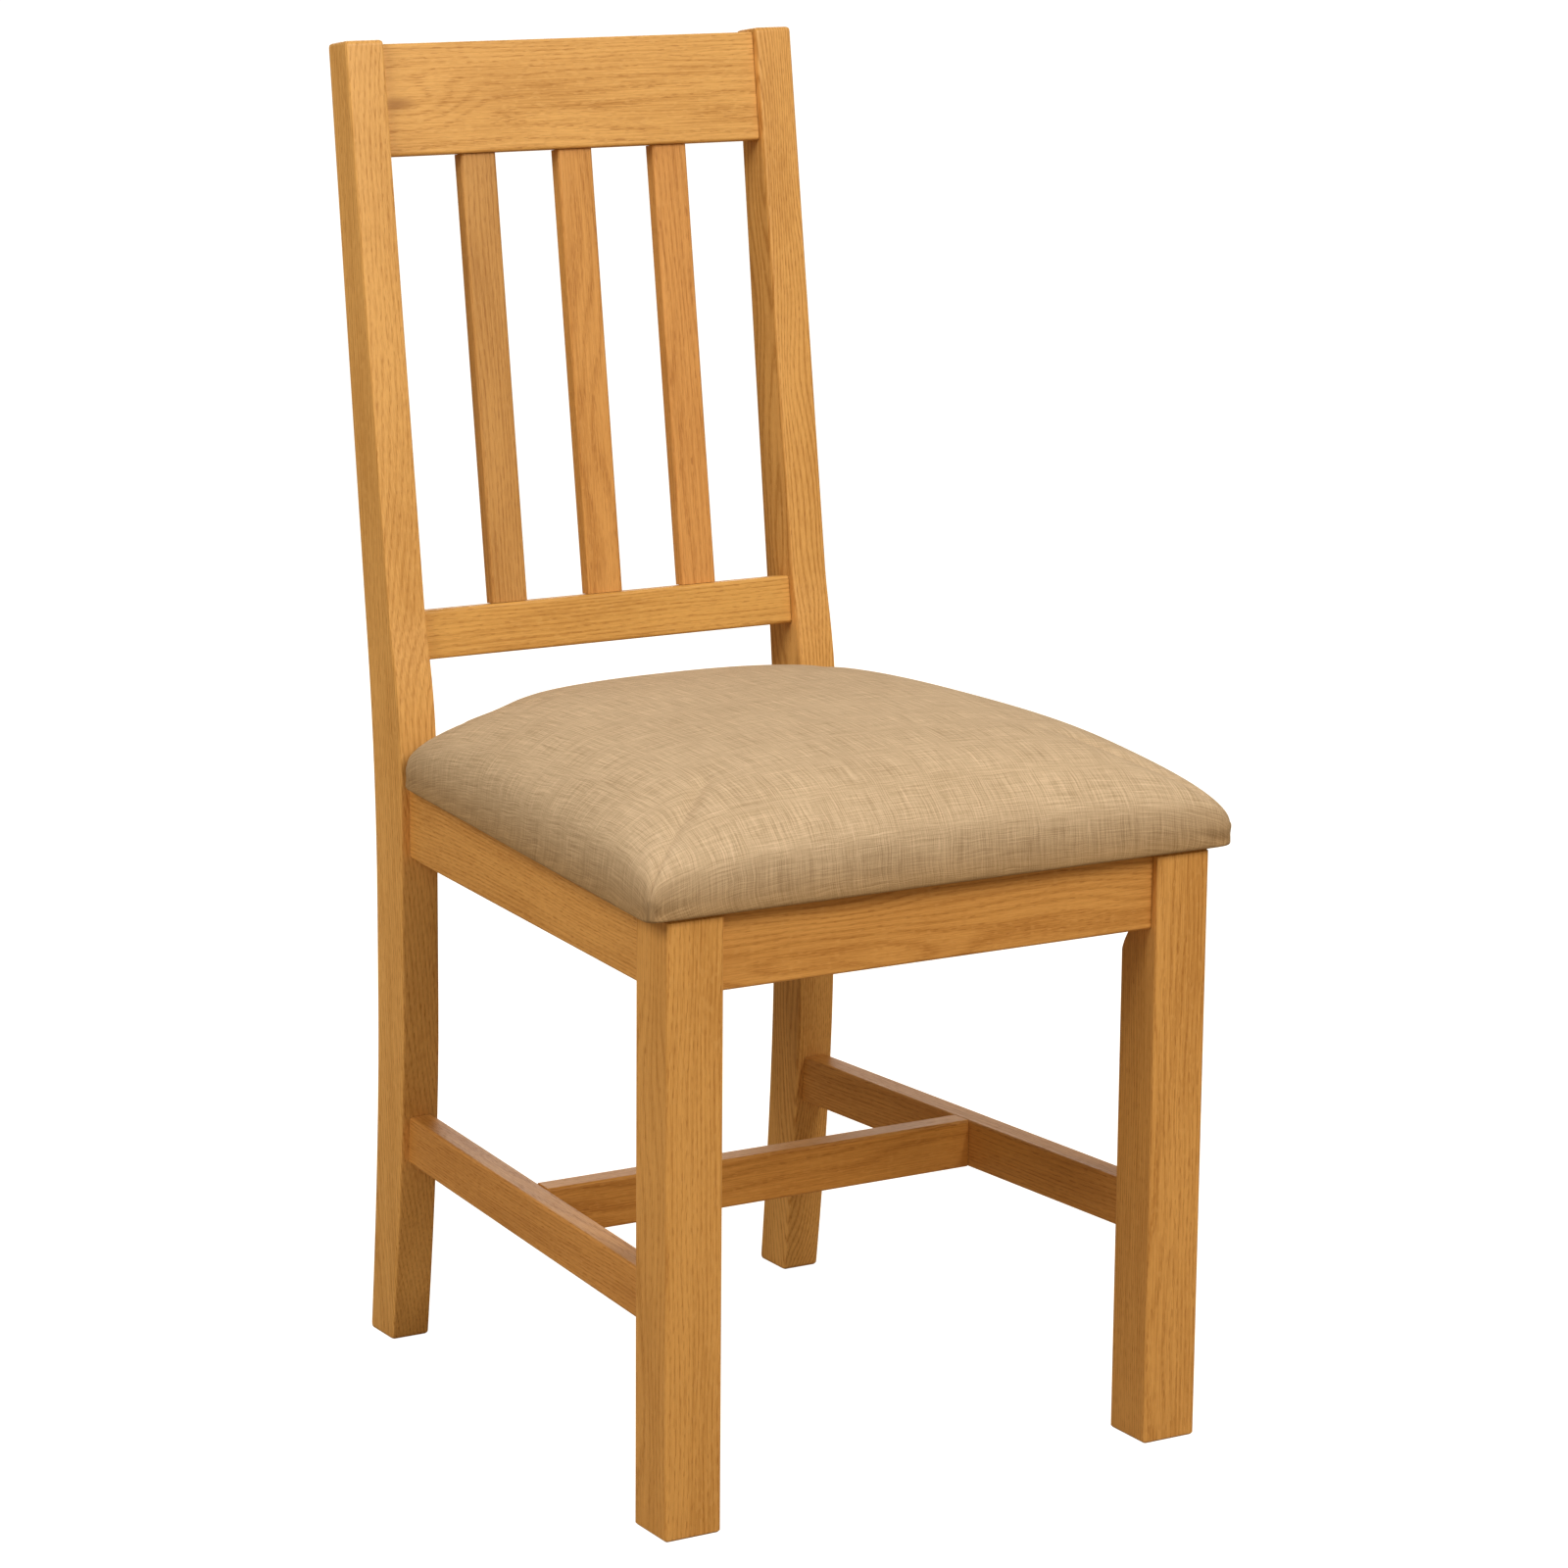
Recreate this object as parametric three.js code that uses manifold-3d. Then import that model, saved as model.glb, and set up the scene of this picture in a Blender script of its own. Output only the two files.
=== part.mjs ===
// Dining chair: a raked slat back, square front legs, an H-stretcher and a drop-on upholstered pad.
// Millimetres, +Z up. X runs across the chair, the chair faces -Y, and the floor is z = 0.
// The model is laid out from the front face of the front legs (y = 0) and moved at the end, so that
// the origin is on the floor at the middle of the chair's bounding box.
import * as THREE from 'three';
import { mergeVertices } from 'three/addons/utils/BufferGeometryUtils.js';
import Module from 'manifold-3d';

const wasm = await Module();
wasm.setup();

// ---------------------------------------------------------------- driving dimensions
const overallHeight = 1000; // floor to the top front edge of a back post
const frontWidth = 450; // over the outer faces of the front legs
const backWidth = 387; // over the outer faces of the back posts
const seatDepth = 461.5; // front face of a leg to the front face of a post, at the seat
const fit = 0.3; // clearance wherever two pieces touch

const legSection = 45; // square front leg
const legEase = 3; // rounding of a leg's long edges
const footChamfer = 1.5; // small chamfer round the bottom of a leg
const legRelief = 11; // depth of the flat cut across a leg's inner rear corner
const reliefRadius = 59; // cutter radius that runs the relief out below the rail
const reliefBelow = 35; // how far below the rail the relief starts

const railBottom = 389; // underside of the seat rails
const railHeight = 56;
const railThickness = 20;
const railEase = 2.5; // rounding of the long edges of rails, slats and stretchers
const frontRailInset = 7; // front rail behind the front face of the legs
const sideRailInset = 7; // side rail inside the outer face of the legs
const backRailInset = 1; // back rail behind the front face of the posts

const postWidth = 31.5;
const postDepth = 44.5; // front to back at the seat
const postTopDepth = 32; // front to back at the top, square to the rake
const postEase = 2.5; // rounding of a post's long edges
const postCorner = 4.5; // rounding of its top and foot, seen from the side
const rakeAngle = THREE.MathUtils.degToRad(8.4); // lean of the back from upright
const rakeStart = 450; // height where the raked and upright front faces would meet
const rakeBlend = 130; // length of the curve from upright to raked, above rakeStart
const rearBlend = 100; // the same on the rear face
const footKick = 22; // the foot's front edge behind the post's front face
const footDepth = 39; // front to back at the floor
const kickHeight = 270; // where the foot starts to kick back
const kickBend = 0.61; // control point of the kick's curve, as a share of its height
const footFlare = 0.3; // how far the foot's ends lean out at their rounded corners
const blendLower = 0.5; // handles of the front blend curve, as shares of rakeBlend
const blendUpper = 0.23;

const backRailSetback = 6; // crest and lower rail behind the raked front face
const crestHeight = 84; // along the rake
const crestDrop = 3; // top of the crest below the top of the posts
const crestThickness = 20;
const lowerRailAbove = 89; // lower rail's underside above rakeStart, along the rake
const lowerRailHeight = 37.5;
const lowerRailThickness = 18;
const slatWidth = 30;
const slatThickness = 13;
const slatPitch = 83.5;
const slatSetback = 11; // slats behind the raked front face
const slatTenon = 10; // stub tenon at each end of a slat
const slatTenonShoulder = 2.5; // how much thinner and narrower the tenon is, on each side

const stretcherBottom = 147;
const stretcherHeight = 37.5;
const stretcherThickness = 20;
const stretcherInset = 6; // side stretcher inside the outer face of the legs
const crossStretcherFront = 247; // front face of the cross stretcher behind the leg's front face
const tenonLength = 14; // stub tenons of rails and stretchers
const tenonShoulder = 5; // how much smaller the tenon is than its piece, on each side

const dowelRadius = 4;
const dowelLength = 34;
const blockHeight = 38;
const blockReach = 62; // how far a corner block runs along each rail
const blockNose = 14; // flat at each end of a block's slanting face
const screwRadius = 2;
const screwHeadRadius = 4;
const screwHeadHeight = 2.6;
const blockScrewLength = 38;
const blockScrewAlong = 46; // block screw from the leg or post, along the rail
const seatScrewAlong = 17; // seat screw from the leg or post, across the chair
const seatScrewIn = 22; // and along it
const seatScrewLength = 46;
const screwPoint = 1.5; // length of the point, in shank radii
const screwHeadTop = 0.8; // radius of the head's flat top, in head radii
const screwHeadRim = 0.5; // depth of the head's bevel, in head heights
const driveRadius = 1.6; // socket in a screw head
const driveDepth = 1.2;

const easeSegments = 3; // straight pieces in an eased edge's quarter turn
const postCurveSteps = 8; // straight pieces in each curve of a post's outline
const reliefSteps = 6; // straight pieces in the relief's arc
const rodSegments = 12;
const dowelSegments = 10;
const padSteps = 14; // cells of the pad's grid each way

const boardThickness = 12;
const boardInset = 10; // board edge inside the pad's widest outline
const padSideOverhang = 23; // pad past the outer faces of the front legs
const padBackOverhang = 5; // pad past the outer faces of the posts
const padFrontOverhang = 9;
const padBackGap = 1; // pad in front of the posts
const padEdge = 17; // height of the pad's edge at its corners
const padCrown = 74; // rise of the crown above that edge
const clothThickness = 1.2;
const foamGap = 1.2; // foam to cloth, at the crown
const padTuck = 5; // how far the skirt pulls in at the bottom
const foamInset = 4; // foam inside the pad's outline
const boardCorner = 26; // rounding of the board's corners in plan
const boardCornerSegments = 4;
const dustCoverThickness = 0.8;
const dustCoverInset = 16; // dust cover inside the pad's widest outline

// ---------------------------------------------------------------- worked-out places
const halfFront = frontWidth / 2;
const halfBack = backWidth / 2;
const railTop = railBottom + railHeight;
const stretcherTop = stretcherBottom + stretcherHeight;
const postRear = seatDepth + postDepth;
const backRailFront = seatDepth + backRailInset;
const padFront = -padFrontOverhang;
const padBack = seatDepth - padBackGap;
const padHalfFront = halfFront + padSideOverhang;
const padHalfBack = halfBack + padBackOverhang;
const padBase = railTop + fit;
const boardBottom = padBase + dustCoverThickness + fit;
const boardTop = boardBottom + boardThickness;
const padTop = padBase + padEdge + padCrown;
const postTopAlong = (overallHeight - rakeStart) / Math.cos(rakeAngle);
const chairRear = seatDepth + postTopAlong * Math.sin(rakeAngle) + postTopDepth * Math.cos(rakeAngle);
const splay = (halfFront - halfBack) / (seatDepth - legSection); // how fast a side rail widens

const wood = (name, color, roughness = 0.5) =>
  new THREE.MeshStandardMaterial({ name, color, roughness, metalness: 0 });
const paint = {
  leg: () => wood('leg_wood', 0xc08a48),
  post: () => wood('post_wood', 0xce9455),
  crest: () => wood('crest_wood', 0xd9a25c),
  slat: () => wood('slat_wood', 0xc9924f),
  rail: () => wood('rail_wood', 0xb9803d),
  stretcher: () => wood('stretcher_wood', 0xa66f3b),
  block: () => wood('block_wood', 0xc7a878, 0.7),
  dowel: () => wood('dowel_wood', 0xcfae7c, 0.7),
  ply: () => wood('plywood', 0xbf9c6a, 0.75),
  cloth: () => wood('linen_cloth', 0xc4a57c, 0.95),
  foam: () => wood('foam', 0xe3dcc0, 1),
  dust: () => wood('dust_cloth', 0x1c1c1e, 0.95),
  steel: () =>
    new THREE.MeshStandardMaterial({ name: 'steel', color: 0xb9bbbd, roughness: 0.35, metalness: 1 }),
};

// ---------------------------------------------------------------- solids
/** A closed geometry as a solid that can be joined and cut. */
function solidOf(geometry) {
  const bare = geometry.clone();
  bare.deleteAttribute('normal');
  bare.deleteAttribute('uv');
  const merged = mergeVertices(bare, 1e-4);
  return new wasm.Manifold(new wasm.Mesh({
    numProp: 3,
    vertProperties: new Float32Array(merged.attributes.position.array),
    triVerts: new Uint32Array(merged.index.array),
  }));
}

/** A solid as a geometry with plain face normals. */
function geometryOf(solid) {
  const mesh = solid.getMesh();
  const geometry = new THREE.BufferGeometry();
  geometry.setAttribute('position', new THREE.BufferAttribute(new Float32Array(mesh.vertProperties), 3));
  geometry.setIndex(new THREE.BufferAttribute(new Uint32Array(mesh.triVerts), 1));
  geometry.computeVertexNormals();
  return geometry;
}

/** The given geometry, moved to (x, y, z). */
const at = (geometry, x, y, z) => geometry.translate(x, y, z);

/** A box given by its lowest and highest corners. */
function boxBetween(low, high) {
  const size = high.map((value, i) => value - low[i]);
  const middle = high.map((value, i) => (value + low[i]) / 2);
  return at(new THREE.BoxGeometry(...size), ...middle);
}

/** A rectangle with rounded corners, centred on the origin. */
function easedRectangle(width, height, radius) {
  const x = width / 2;
  const y = height / 2;
  const shape = new THREE.Shape();
  shape.moveTo(-x + radius, -y);
  shape.absarc(x - radius, -y + radius, radius, -Math.PI / 2, 0);
  shape.absarc(x - radius, y - radius, radius, 0, Math.PI / 2);
  shape.absarc(-x + radius, y - radius, radius, Math.PI / 2, Math.PI);
  shape.absarc(-x + radius, -y + radius, radius, Math.PI, Math.PI * 1.5);
  return shape;
}

const extrude = (shape, depth, curveSegments = easeSegments) =>
  new THREE.ExtrudeGeometry(shape, { depth, bevelEnabled: false, curveSegments });

/** A bar along X with eased long edges: x from left to right, y and z from their lowest values. */
function barAlongX(left, right, front, thickness, bottom, height, ease = railEase) {
  const bar = extrude(easedRectangle(thickness, height, ease), right - left);
  // the section's x becomes y, its y becomes z, and the length runs along x
  bar.applyMatrix4(new THREE.Matrix4().makeBasis(
    new THREE.Vector3(0, 1, 0), new THREE.Vector3(0, 0, 1), new THREE.Vector3(1, 0, 0)));
  return at(bar, left, front + thickness / 2, bottom + height / 2);
}

/** A bar from the leg back to the post on the side of `side` (+1 or -1), splayed with the seat. */
function barAlongSide(side, front, rear, inset, thickness, bottom, height) {
  const bar = extrude(easedRectangle(thickness, height, railEase), rear - front);
  bar.applyMatrix4(new THREE.Matrix4().makeBasis(
    new THREE.Vector3(-1, 0, 0), new THREE.Vector3(0, 0, 1), new THREE.Vector3(0, 1, 0)));
  const middle = sideFaceX(side, front) - side * (inset + thickness / 2);
  const shear = new THREE.Matrix4().set(1, -side * splay, 0, 0, 0, 1, 0, 0, 0, 0, 1, 0, 0, 0, 0, 1);
  return at(bar.applyMatrix4(shear), middle, front, bottom + height / 2);
}

/** X of the line from the outer face of a leg to the outer face of a post, at depth y. */
function sideFaceX(side, y) {
  return side * (halfFront - splay * (y - legSection));
}

/** A rod of the given radius and length from `start` along `direction`. */
function rod(start, direction, radius, length, segments = rodSegments) {
  const cylinder = new THREE.CylinderGeometry(radius, radius, length, segments);
  const turn = new THREE.Quaternion().setFromUnitVectors(new THREE.Vector3(0, 1, 0), direction);
  const middle = start.clone().addScaledVector(direction, length / 2);
  return at(cylinder.applyQuaternion(turn), ...middle.toArray());
}

// ---------------------------------------------------------------- the raked back
// Points of the back are given as (x, back, along): `along` runs up the rake from rakeStart, and
// `back` is square to it, from the raked front face of the posts towards the rear.
const rakeFrame = new THREE.Matrix4()
  .makeRotationX(-rakeAngle)
  .setPosition(0, seatDepth, rakeStart);
const crestBottom = postTopAlong - crestDrop - crestHeight;
const lowerRailTop = lowerRailAbove + lowerRailHeight;

/** The side outline of a post in (y, z), grown outwards by `grow`. */
function postOutline(grow) {
  const front = seatDepth;
  const rake = new THREE.Vector2(Math.sin(rakeAngle), Math.cos(rakeAngle));
  const square = new THREE.Vector2(Math.cos(rakeAngle), -Math.sin(rakeAngle));
  const onRake = (back, along) =>
    new THREE.Vector2(front, rakeStart).addScaledVector(square, back).addScaledVector(rake, along);
  const blendTop = onRake(0, rakeBlend);
  const topFront = onRake(0, postTopAlong);
  const topRear = onRake(postTopDepth, postTopAlong);
  // the rear face tapers from the seat's depth to the top's
  const rearLow = onRake(postDepth, 0);
  const taper = topRear.clone().sub(rearLow).normalize();
  const rearMeet = rearLow.clone().addScaledVector(taper, (postRear - rearLow.x) / taper.x);
  const rearBlendTop = rearMeet.clone().addScaledVector(taper, rearBlend);
  const kickControl = kickHeight * kickBend;
  const corner = postCorner;
  const shape = new THREE.Shape();
  shape.moveTo(front + footKick + corner, 0);
  shape.quadraticCurveTo(front + footKick, 0, front + footKick - footFlare, corner);
  shape.quadraticCurveTo(front, kickControl, front, kickHeight);
  shape.lineTo(front, rakeStart);
  const upper = rakeBlend * blendUpper;
  shape.bezierCurveTo(front, rakeStart + rakeBlend * blendLower,
    blendTop.x - rake.x * upper, blendTop.y - rake.y * upper, blendTop.x, blendTop.y);
  shape.lineTo(topFront.x - rake.x * corner, topFront.y - rake.y * corner);
  shape.quadraticCurveTo(topFront.x, topFront.y,
    topFront.x + square.x * corner, topFront.y + square.y * corner);
  shape.lineTo(topRear.x - square.x * corner, topRear.y - square.y * corner);
  shape.quadraticCurveTo(topRear.x, topRear.y, topRear.x - taper.x * corner, topRear.y - taper.y * corner);
  shape.lineTo(rearBlendTop.x, rearBlendTop.y);
  shape.quadraticCurveTo(rearMeet.x, rearMeet.y, postRear, rearMeet.y - rearBlend);
  shape.lineTo(postRear, kickHeight);
  shape.quadraticCurveTo(postRear, kickControl, front + footKick + footDepth - footFlare, corner);
  shape.quadraticCurveTo(front + footKick + footDepth, 0, front + footKick + footDepth - corner, 0);
  shape.closePath();
  return grow ? grownShape(shape, grow) : shape;
}

/** The same outline with every point moved outwards by `grow`, square to its neighbours. */
function grownShape(shape, grow) {
  const points = shape.getPoints(postCurveSteps);
  if (points[0].distanceTo(points[points.length - 1]) < 1e-6) points.pop();
  const clockwise = THREE.ShapeUtils.isClockWise(points) ? 1 : -1;
  const moved = points.map((point, i) => {
    const before = points[(i + points.length - 1) % points.length];
    const after = points[(i + 1) % points.length];
    const run = after.clone().sub(before).normalize();
    return point.clone().add(new THREE.Vector2(-run.y, run.x).multiplyScalar(grow * clockwise));
  });
  return new THREE.Shape(moved);
}

/** A back post on the side of `side`; `grow` makes the larger copy that its neighbours are cut with. */
function postSolid(side, grow = 0) {
  const ease = postEase;
  const post = new THREE.ExtrudeGeometry(postOutline(grow), {
    depth: postWidth + 2 * grow - 2 * ease,
    bevelEnabled: true,
    bevelThickness: ease,
    bevelSize: ease,
    bevelOffset: -ease,
    bevelSegments: 2,
    curveSegments: postCurveSteps,
  });
  post.applyMatrix4(new THREE.Matrix4().makeBasis(
    new THREE.Vector3(0, 1, 0), new THREE.Vector3(0, 0, 1), new THREE.Vector3(1, 0, 0)));
  const left = side > 0 ? halfBack - postWidth : -halfBack;
  return solidOf(at(post, left - grow + ease, 0, 0));
}

/** A rail or slat of the back in the raked frame, as a solid in the chair's frame. */
const raked = (geometry) => solidOf(geometry.applyMatrix4(rakeFrame));

// ---------------------------------------------------------------- front legs
/** A front leg with its inner rear corner cut away above the run-out; `grow` as for a post. */
function legSolid(side, grow = 0) {
  const size = legSection + 2 * grow;
  const chamfer = grow ? 0 : footChamfer;
  const leg = new THREE.ExtrudeGeometry(easedRectangle(size, size, legEase), {
    depth: railTop - 2 * chamfer,
    bevelEnabled: chamfer > 0,
    bevelThickness: chamfer,
    bevelSize: chamfer,
    bevelOffset: -chamfer,
    bevelSegments: 1,
    curveSegments: easeSegments,
  });
  const middle = side * (halfFront - legSection / 2);
  return solidOf(at(leg, middle, legSection / 2, chamfer)).subtract(reliefCutter(side, grow));
}

/** The tool that cuts a leg's inner rear corner: a flat cut whose lower end runs out on an arc. */
function reliefCutter(side, grow) {
  const depth = legRelief * Math.SQRT1_2 - grow; // of the flat cut, square to its face
  const runOut = Math.sqrt(reliefRadius ** 2 - (reliefRadius - depth) ** 2);
  const reach = legSection; // far enough past the corner and the top to clear them
  const lowest = railBottom - reliefBelow;
  const profile = new THREE.Shape();
  profile.moveTo(reach, lowest);
  profile.lineTo(0, lowest);
  for (let i = 1; i <= reliefSteps; i += 1) {
    const rise = (runOut * i) / reliefSteps;
    profile.lineTo(-(reliefRadius - Math.sqrt(reliefRadius ** 2 - rise ** 2)), lowest + rise);
  }
  profile.lineTo(-depth, railTop + reach);
  profile.lineTo(reach, railTop + reach);
  profile.closePath();
  // the profile's x points out of the corner along the diagonal, and its y is up
  const cutter = at(extrude(profile, 2 * reach), 0, 0, -reach);
  const outward = new THREE.Vector3(-side, 1, 0).normalize();
  const up = new THREE.Vector3(0, 0, 1);
  const across = new THREE.Vector3().crossVectors(outward, up);
  cutter.applyMatrix4(new THREE.Matrix4().makeBasis(outward, up, across));
  return solidOf(at(cutter, side * (halfFront - legSection), legSection, 0));
}

// ---------------------------------------------------------------- dowels and screws
const dowels = []; // { name, start, direction, length }
const screws = []; // { name, head, direction, length }

/** Heights of the four dowel levels in a seat rail: the side rails use two, their neighbours two. */
const dowelLevel = (level) => railBottom + (railHeight * (level + 0.5)) / 4;

/** Every dowel: half of it in the rail, half in the leg or post that the rail meets. */
function layOutDowels() {
  const add = (name, x, y, direction) => {
    const start = new THREE.Vector3(x, y, 0).addScaledVector(direction, -dowelLength / 2);
    const levels = direction.x ? [['lower', 0], ['upper', 2]] : [['lower', 1], ['upper', 3]];
    for (const [label, level] of levels) {
      const from = start.clone().setZ(dowelLevel(level));
      dowels.push({ name: `rail_dowel_${name}_${label}`, start: from, direction, length: dowelLength });
    }
  };
  for (const [side, word] of [[-1, 'left'], [1, 'right']]) {
    const outward = new THREE.Vector3(side, 0, 0);
    const forward = new THREE.Vector3(0, -1, 0);
    const backward = new THREE.Vector3(0, 1, 0);
    add(`front_${word}`, side * (halfFront - legSection), frontRailInset + railThickness / 2, outward);
    add(`back_${word}`, side * (halfBack - postWidth), backRailFront + railThickness / 2, outward);
    const middle = sideRailInset + railThickness / 2;
    add(`side_front_${word}`, sideFaceX(side, legSection) - side * middle, legSection, forward);
    add(`side_back_${word}`, sideFaceX(side, seatDepth) - side * middle, seatDepth, backward);
  }
}

const dowelSolid = ({ start, direction, length }) =>
  rod(start, direction, dowelRadius, length, dowelSegments);

/** The holes for every dowel, a clearance wider and longer than the dowels. */
const dowelHoles = () => dowels.map(({ start, direction, length }) => solidOf(
  rod(start.clone().addScaledVector(direction, -fit), direction, dowelRadius + fit, length + 2 * fit,
    dowelSegments)));

/** A pan-head screw: head at `head`, shank and short point along `direction`, socket in the head. */
function screwGeometry({ head, direction, length }, grow = 0) {
  const radius = screwRadius + grow;
  const headRadius = screwHeadRadius + grow;
  const point = screwRadius * screwPoint;
  const back = grow ? blockHeight : 0; // a hole runs on behind the head, as a counterbore
  const profile = grow
    ? [[0, -back], [headRadius, -back], [headRadius, screwHeadHeight + grow]]
    : [[0, driveDepth], [driveRadius, driveDepth], [driveRadius, 0], [headRadius * screwHeadTop, 0],
      [headRadius, screwHeadHeight * screwHeadRim], [headRadius, screwHeadHeight]];
  profile.push([radius, screwHeadHeight + grow], [radius, length - point], [0, length + grow]);
  const screw = new THREE.LatheGeometry(profile.map(([r, y]) => new THREE.Vector2(r, y)), rodSegments);
  const turn = new THREE.Quaternion().setFromUnitVectors(new THREE.Vector3(0, 1, 0), direction);
  return at(screw.applyQuaternion(turn), ...head.toArray());
}

// ---------------------------------------------------------------- corner blocks
/** Plan points of a corner block: two edges along the rails, and the slanting inner face. */
function blockPlan(side, end) {
  const rear = end === 'back';
  const railFace = rear ? backRailFront - fit : frontRailInset + railThickness + fit;
  const into = rear ? -1 : 1; // towards the middle of the chair along y
  const sideFace = (y) => sideFaceX(side, y) - side * (sideRailInset + railThickness + fit);
  const postInner = side * ((rear ? halfBack - postWidth : halfFront - legSection));
  const memberFace = rear ? seatDepth : legSection;
  const alongSide = memberFace + into * blockReach;
  const alongRail = postInner - side * blockReach;
  return [
    [sideFace(railFace), railFace],
    [alongRail, railFace],
    [alongRail, railFace + into * blockNose],
    [sideFace(alongSide) - side * blockNose, alongSide],
    [sideFace(alongSide), alongSide],
  ];
}

/** A corner block before its screw holes, clear of the leg or post in its corner. */
function blockSolid(side, end) {
  const plan = new THREE.Shape(blockPlan(side, end).map(([x, y]) => new THREE.Vector2(x, y)));
  const block = solidOf(at(extrude(plan, blockHeight), 0, 0, railTop - blockHeight));
  return block.subtract(end === 'back' ? postSolid(side, fit) : legSolid(side, fit));
}

/** Two screws through each block into its rails, and one up into the seat board. */
function layOutScrews() {
  const level = railTop - blockHeight / 2;
  for (const [side, word] of [[-1, 'left'], [1, 'right']]) {
    for (const end of ['front', 'back']) {
      const rear = end === 'back';
      const into = rear ? -1 : 1;
      const [, , [noseX, noseY], [farX, farY]] = blockPlan(side, end);
      const memberFace = rear ? seatDepth : legSection;
      const postInner = side * (rear ? halfBack - postWidth : halfFront - legSection);
      const slant = (x) => noseY + ((farY - noseY) * (x - noseX)) / (farX - noseX);
      const slantX = (y) => noseX + ((farX - noseX) * (y - noseY)) / (farY - noseY);
      const railScrewX = postInner - side * blockScrewAlong;
      const sideScrewY = memberFace + into * blockScrewAlong;
      const sunk = screwHeadRadius + screwHeadHeight; // the head sits below the slanting face
      screws.push({
        name: `block_screw_${end}_${word}_a`,
        head: new THREE.Vector3(railScrewX, slant(railScrewX) - into * sunk, level),
        direction: new THREE.Vector3(0, -into, 0),
        length: blockScrewLength,
      }, {
        name: `block_screw_${end}_${word}_b`,
        head: new THREE.Vector3(slantX(sideScrewY) + side * sunk, sideScrewY, level),
        direction: new THREE.Vector3(side, 0, 0),
        length: blockScrewLength,
      }, {
        name: `seat_screw_${end}_${word}`,
        head: new THREE.Vector3(postInner - side * seatScrewAlong, memberFace + into * seatScrewIn,
          railTop - blockHeight),
        direction: new THREE.Vector3(0, 0, 1),
        length: seatScrewLength,
      });
    }
  }
}

// ---------------------------------------------------------------- the pad
/**
 * A crowned pad surface on a square grid of (u, v) in -1..1. Its plan is the seat's trapezoid with
 * slightly rounded corners, `inset` inside the pad's outline. Its height falls from `crown` in the
 * middle to `edge` at the outline, and a skirt goes on down to `bottom`, tucked in a little.
 */
function padSurface({ inset, edge, crown, bottom }) {
  const cornerPower = 60; // the higher, the squarer the corners in plan
  const crownAcross = 2.45; // the higher, the flatter the middle, side to side
  const crownAlong = 2.7; // and front to back
  const shoulder = 0.32; // the lower, the fuller the pad's edges
  const knot = (i) => Math.sin((Math.PI / 2) * ((2 * i) / padSteps - 1));
  const place = (u, v, pulled) => {
    const spread = (Math.abs(u) ** cornerPower + Math.abs(v) ** cornerPower) ** (1 / cornerPower);
    const round = spread ? Math.max(Math.abs(u), Math.abs(v)) / spread : 1;
    const front = padFront + inset + pulled;
    const y = THREE.MathUtils.lerp(front, padBack - inset - pulled, (v * round + 1) / 2);
    const share = (y - padFront) / (padBack - padFront);
    const half = THREE.MathUtils.lerp(padHalfFront, padHalfBack, share) - inset - pulled;
    return [u * round * half, y];
  };
  const fullness = (u, v) =>
    ((1 - Math.abs(u) ** crownAcross) * (1 - Math.abs(v) ** crownAlong)) ** shoulder;
  const points = [];
  for (let j = 0; j <= padSteps; j += 1) {
    for (let i = 0; i <= padSteps; i += 1) {
      const [u, v] = [knot(i), knot(j)];
      points.push([...place(u, v, 0), edge + (crown - edge) * fullness(u, v)]);
    }
  }
  const rim = []; // grid places of the outline, anticlockwise from the front left
  for (let i = 0; i < padSteps; i += 1) rim.push([i, 0]);
  for (let j = 0; j < padSteps; j += 1) rim.push([padSteps, j]);
  for (let i = padSteps; i > 0; i -= 1) rim.push([i, padSteps]);
  for (let j = padSteps; j > 0; j -= 1) rim.push([0, j]);
  const skirt = rim.map(([i, j]) => [...place(knot(i), knot(j), padTuck), bottom]);
  return { points, rim: rim.map(([i, j]) => j * (padSteps + 1) + i), skirt };
}

/** The faces of a pad surface and its skirt; vertex numbers start at `first`, `flip` turns them. */
function padFaces({ points, rim }, first, flip) {
  const faces = [];
  const face = (a, b, c) => faces.push(...(flip ? [a, c, b] : [a, b, c]).map((i) => i + first));
  for (let j = 0; j < padSteps; j += 1) {
    for (let i = 0; i < padSteps; i += 1) {
      const a = j * (padSteps + 1) + i;
      face(a, a + 1, a + padSteps + 2);
      face(a, a + padSteps + 2, a + padSteps + 1);
    }
  }
  for (let i = 0; i < rim.length; i += 1) {
    const next = (i + 1) % rim.length;
    face(rim[i], points.length + i, points.length + next);
    face(rim[i], points.length + next, rim[next]);
  }
  return faces;
}

/** A geometry from vertex rows and triangle indices. */
function meshGeometry(rows, faces) {
  const geometry = new THREE.BufferGeometry();
  geometry.setAttribute('position', new THREE.Float32BufferAttribute(rows.flat(), 3));
  geometry.setIndex(faces);
  geometry.computeVertexNormals();
  return geometry;
}

/** The cloth: an outer and an inner pad surface joined round the open bottom rim. */
function seatCoverGeometry() {
  const edge = padBase + padEdge;
  const outer = padSurface({ inset: 0, edge, crown: padTop, bottom: padBase });
  const inner = padSurface({ inset: clothThickness, edge: edge - clothThickness,
    crown: padTop - clothThickness, bottom: padBase });
  const first = outer.points.length + outer.skirt.length;
  const faces = [...padFaces(outer, 0, false), ...padFaces(inner, first, true)];
  outer.skirt.forEach((_, i) => {
    const a = outer.points.length + i;
    const b = outer.points.length + ((i + 1) % outer.skirt.length);
    faces.push(a, a + first, b + first, a, b + first, b);
  });
  return meshGeometry([...outer.points, ...outer.skirt, ...inner.points, ...inner.skirt], faces);
}

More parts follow.
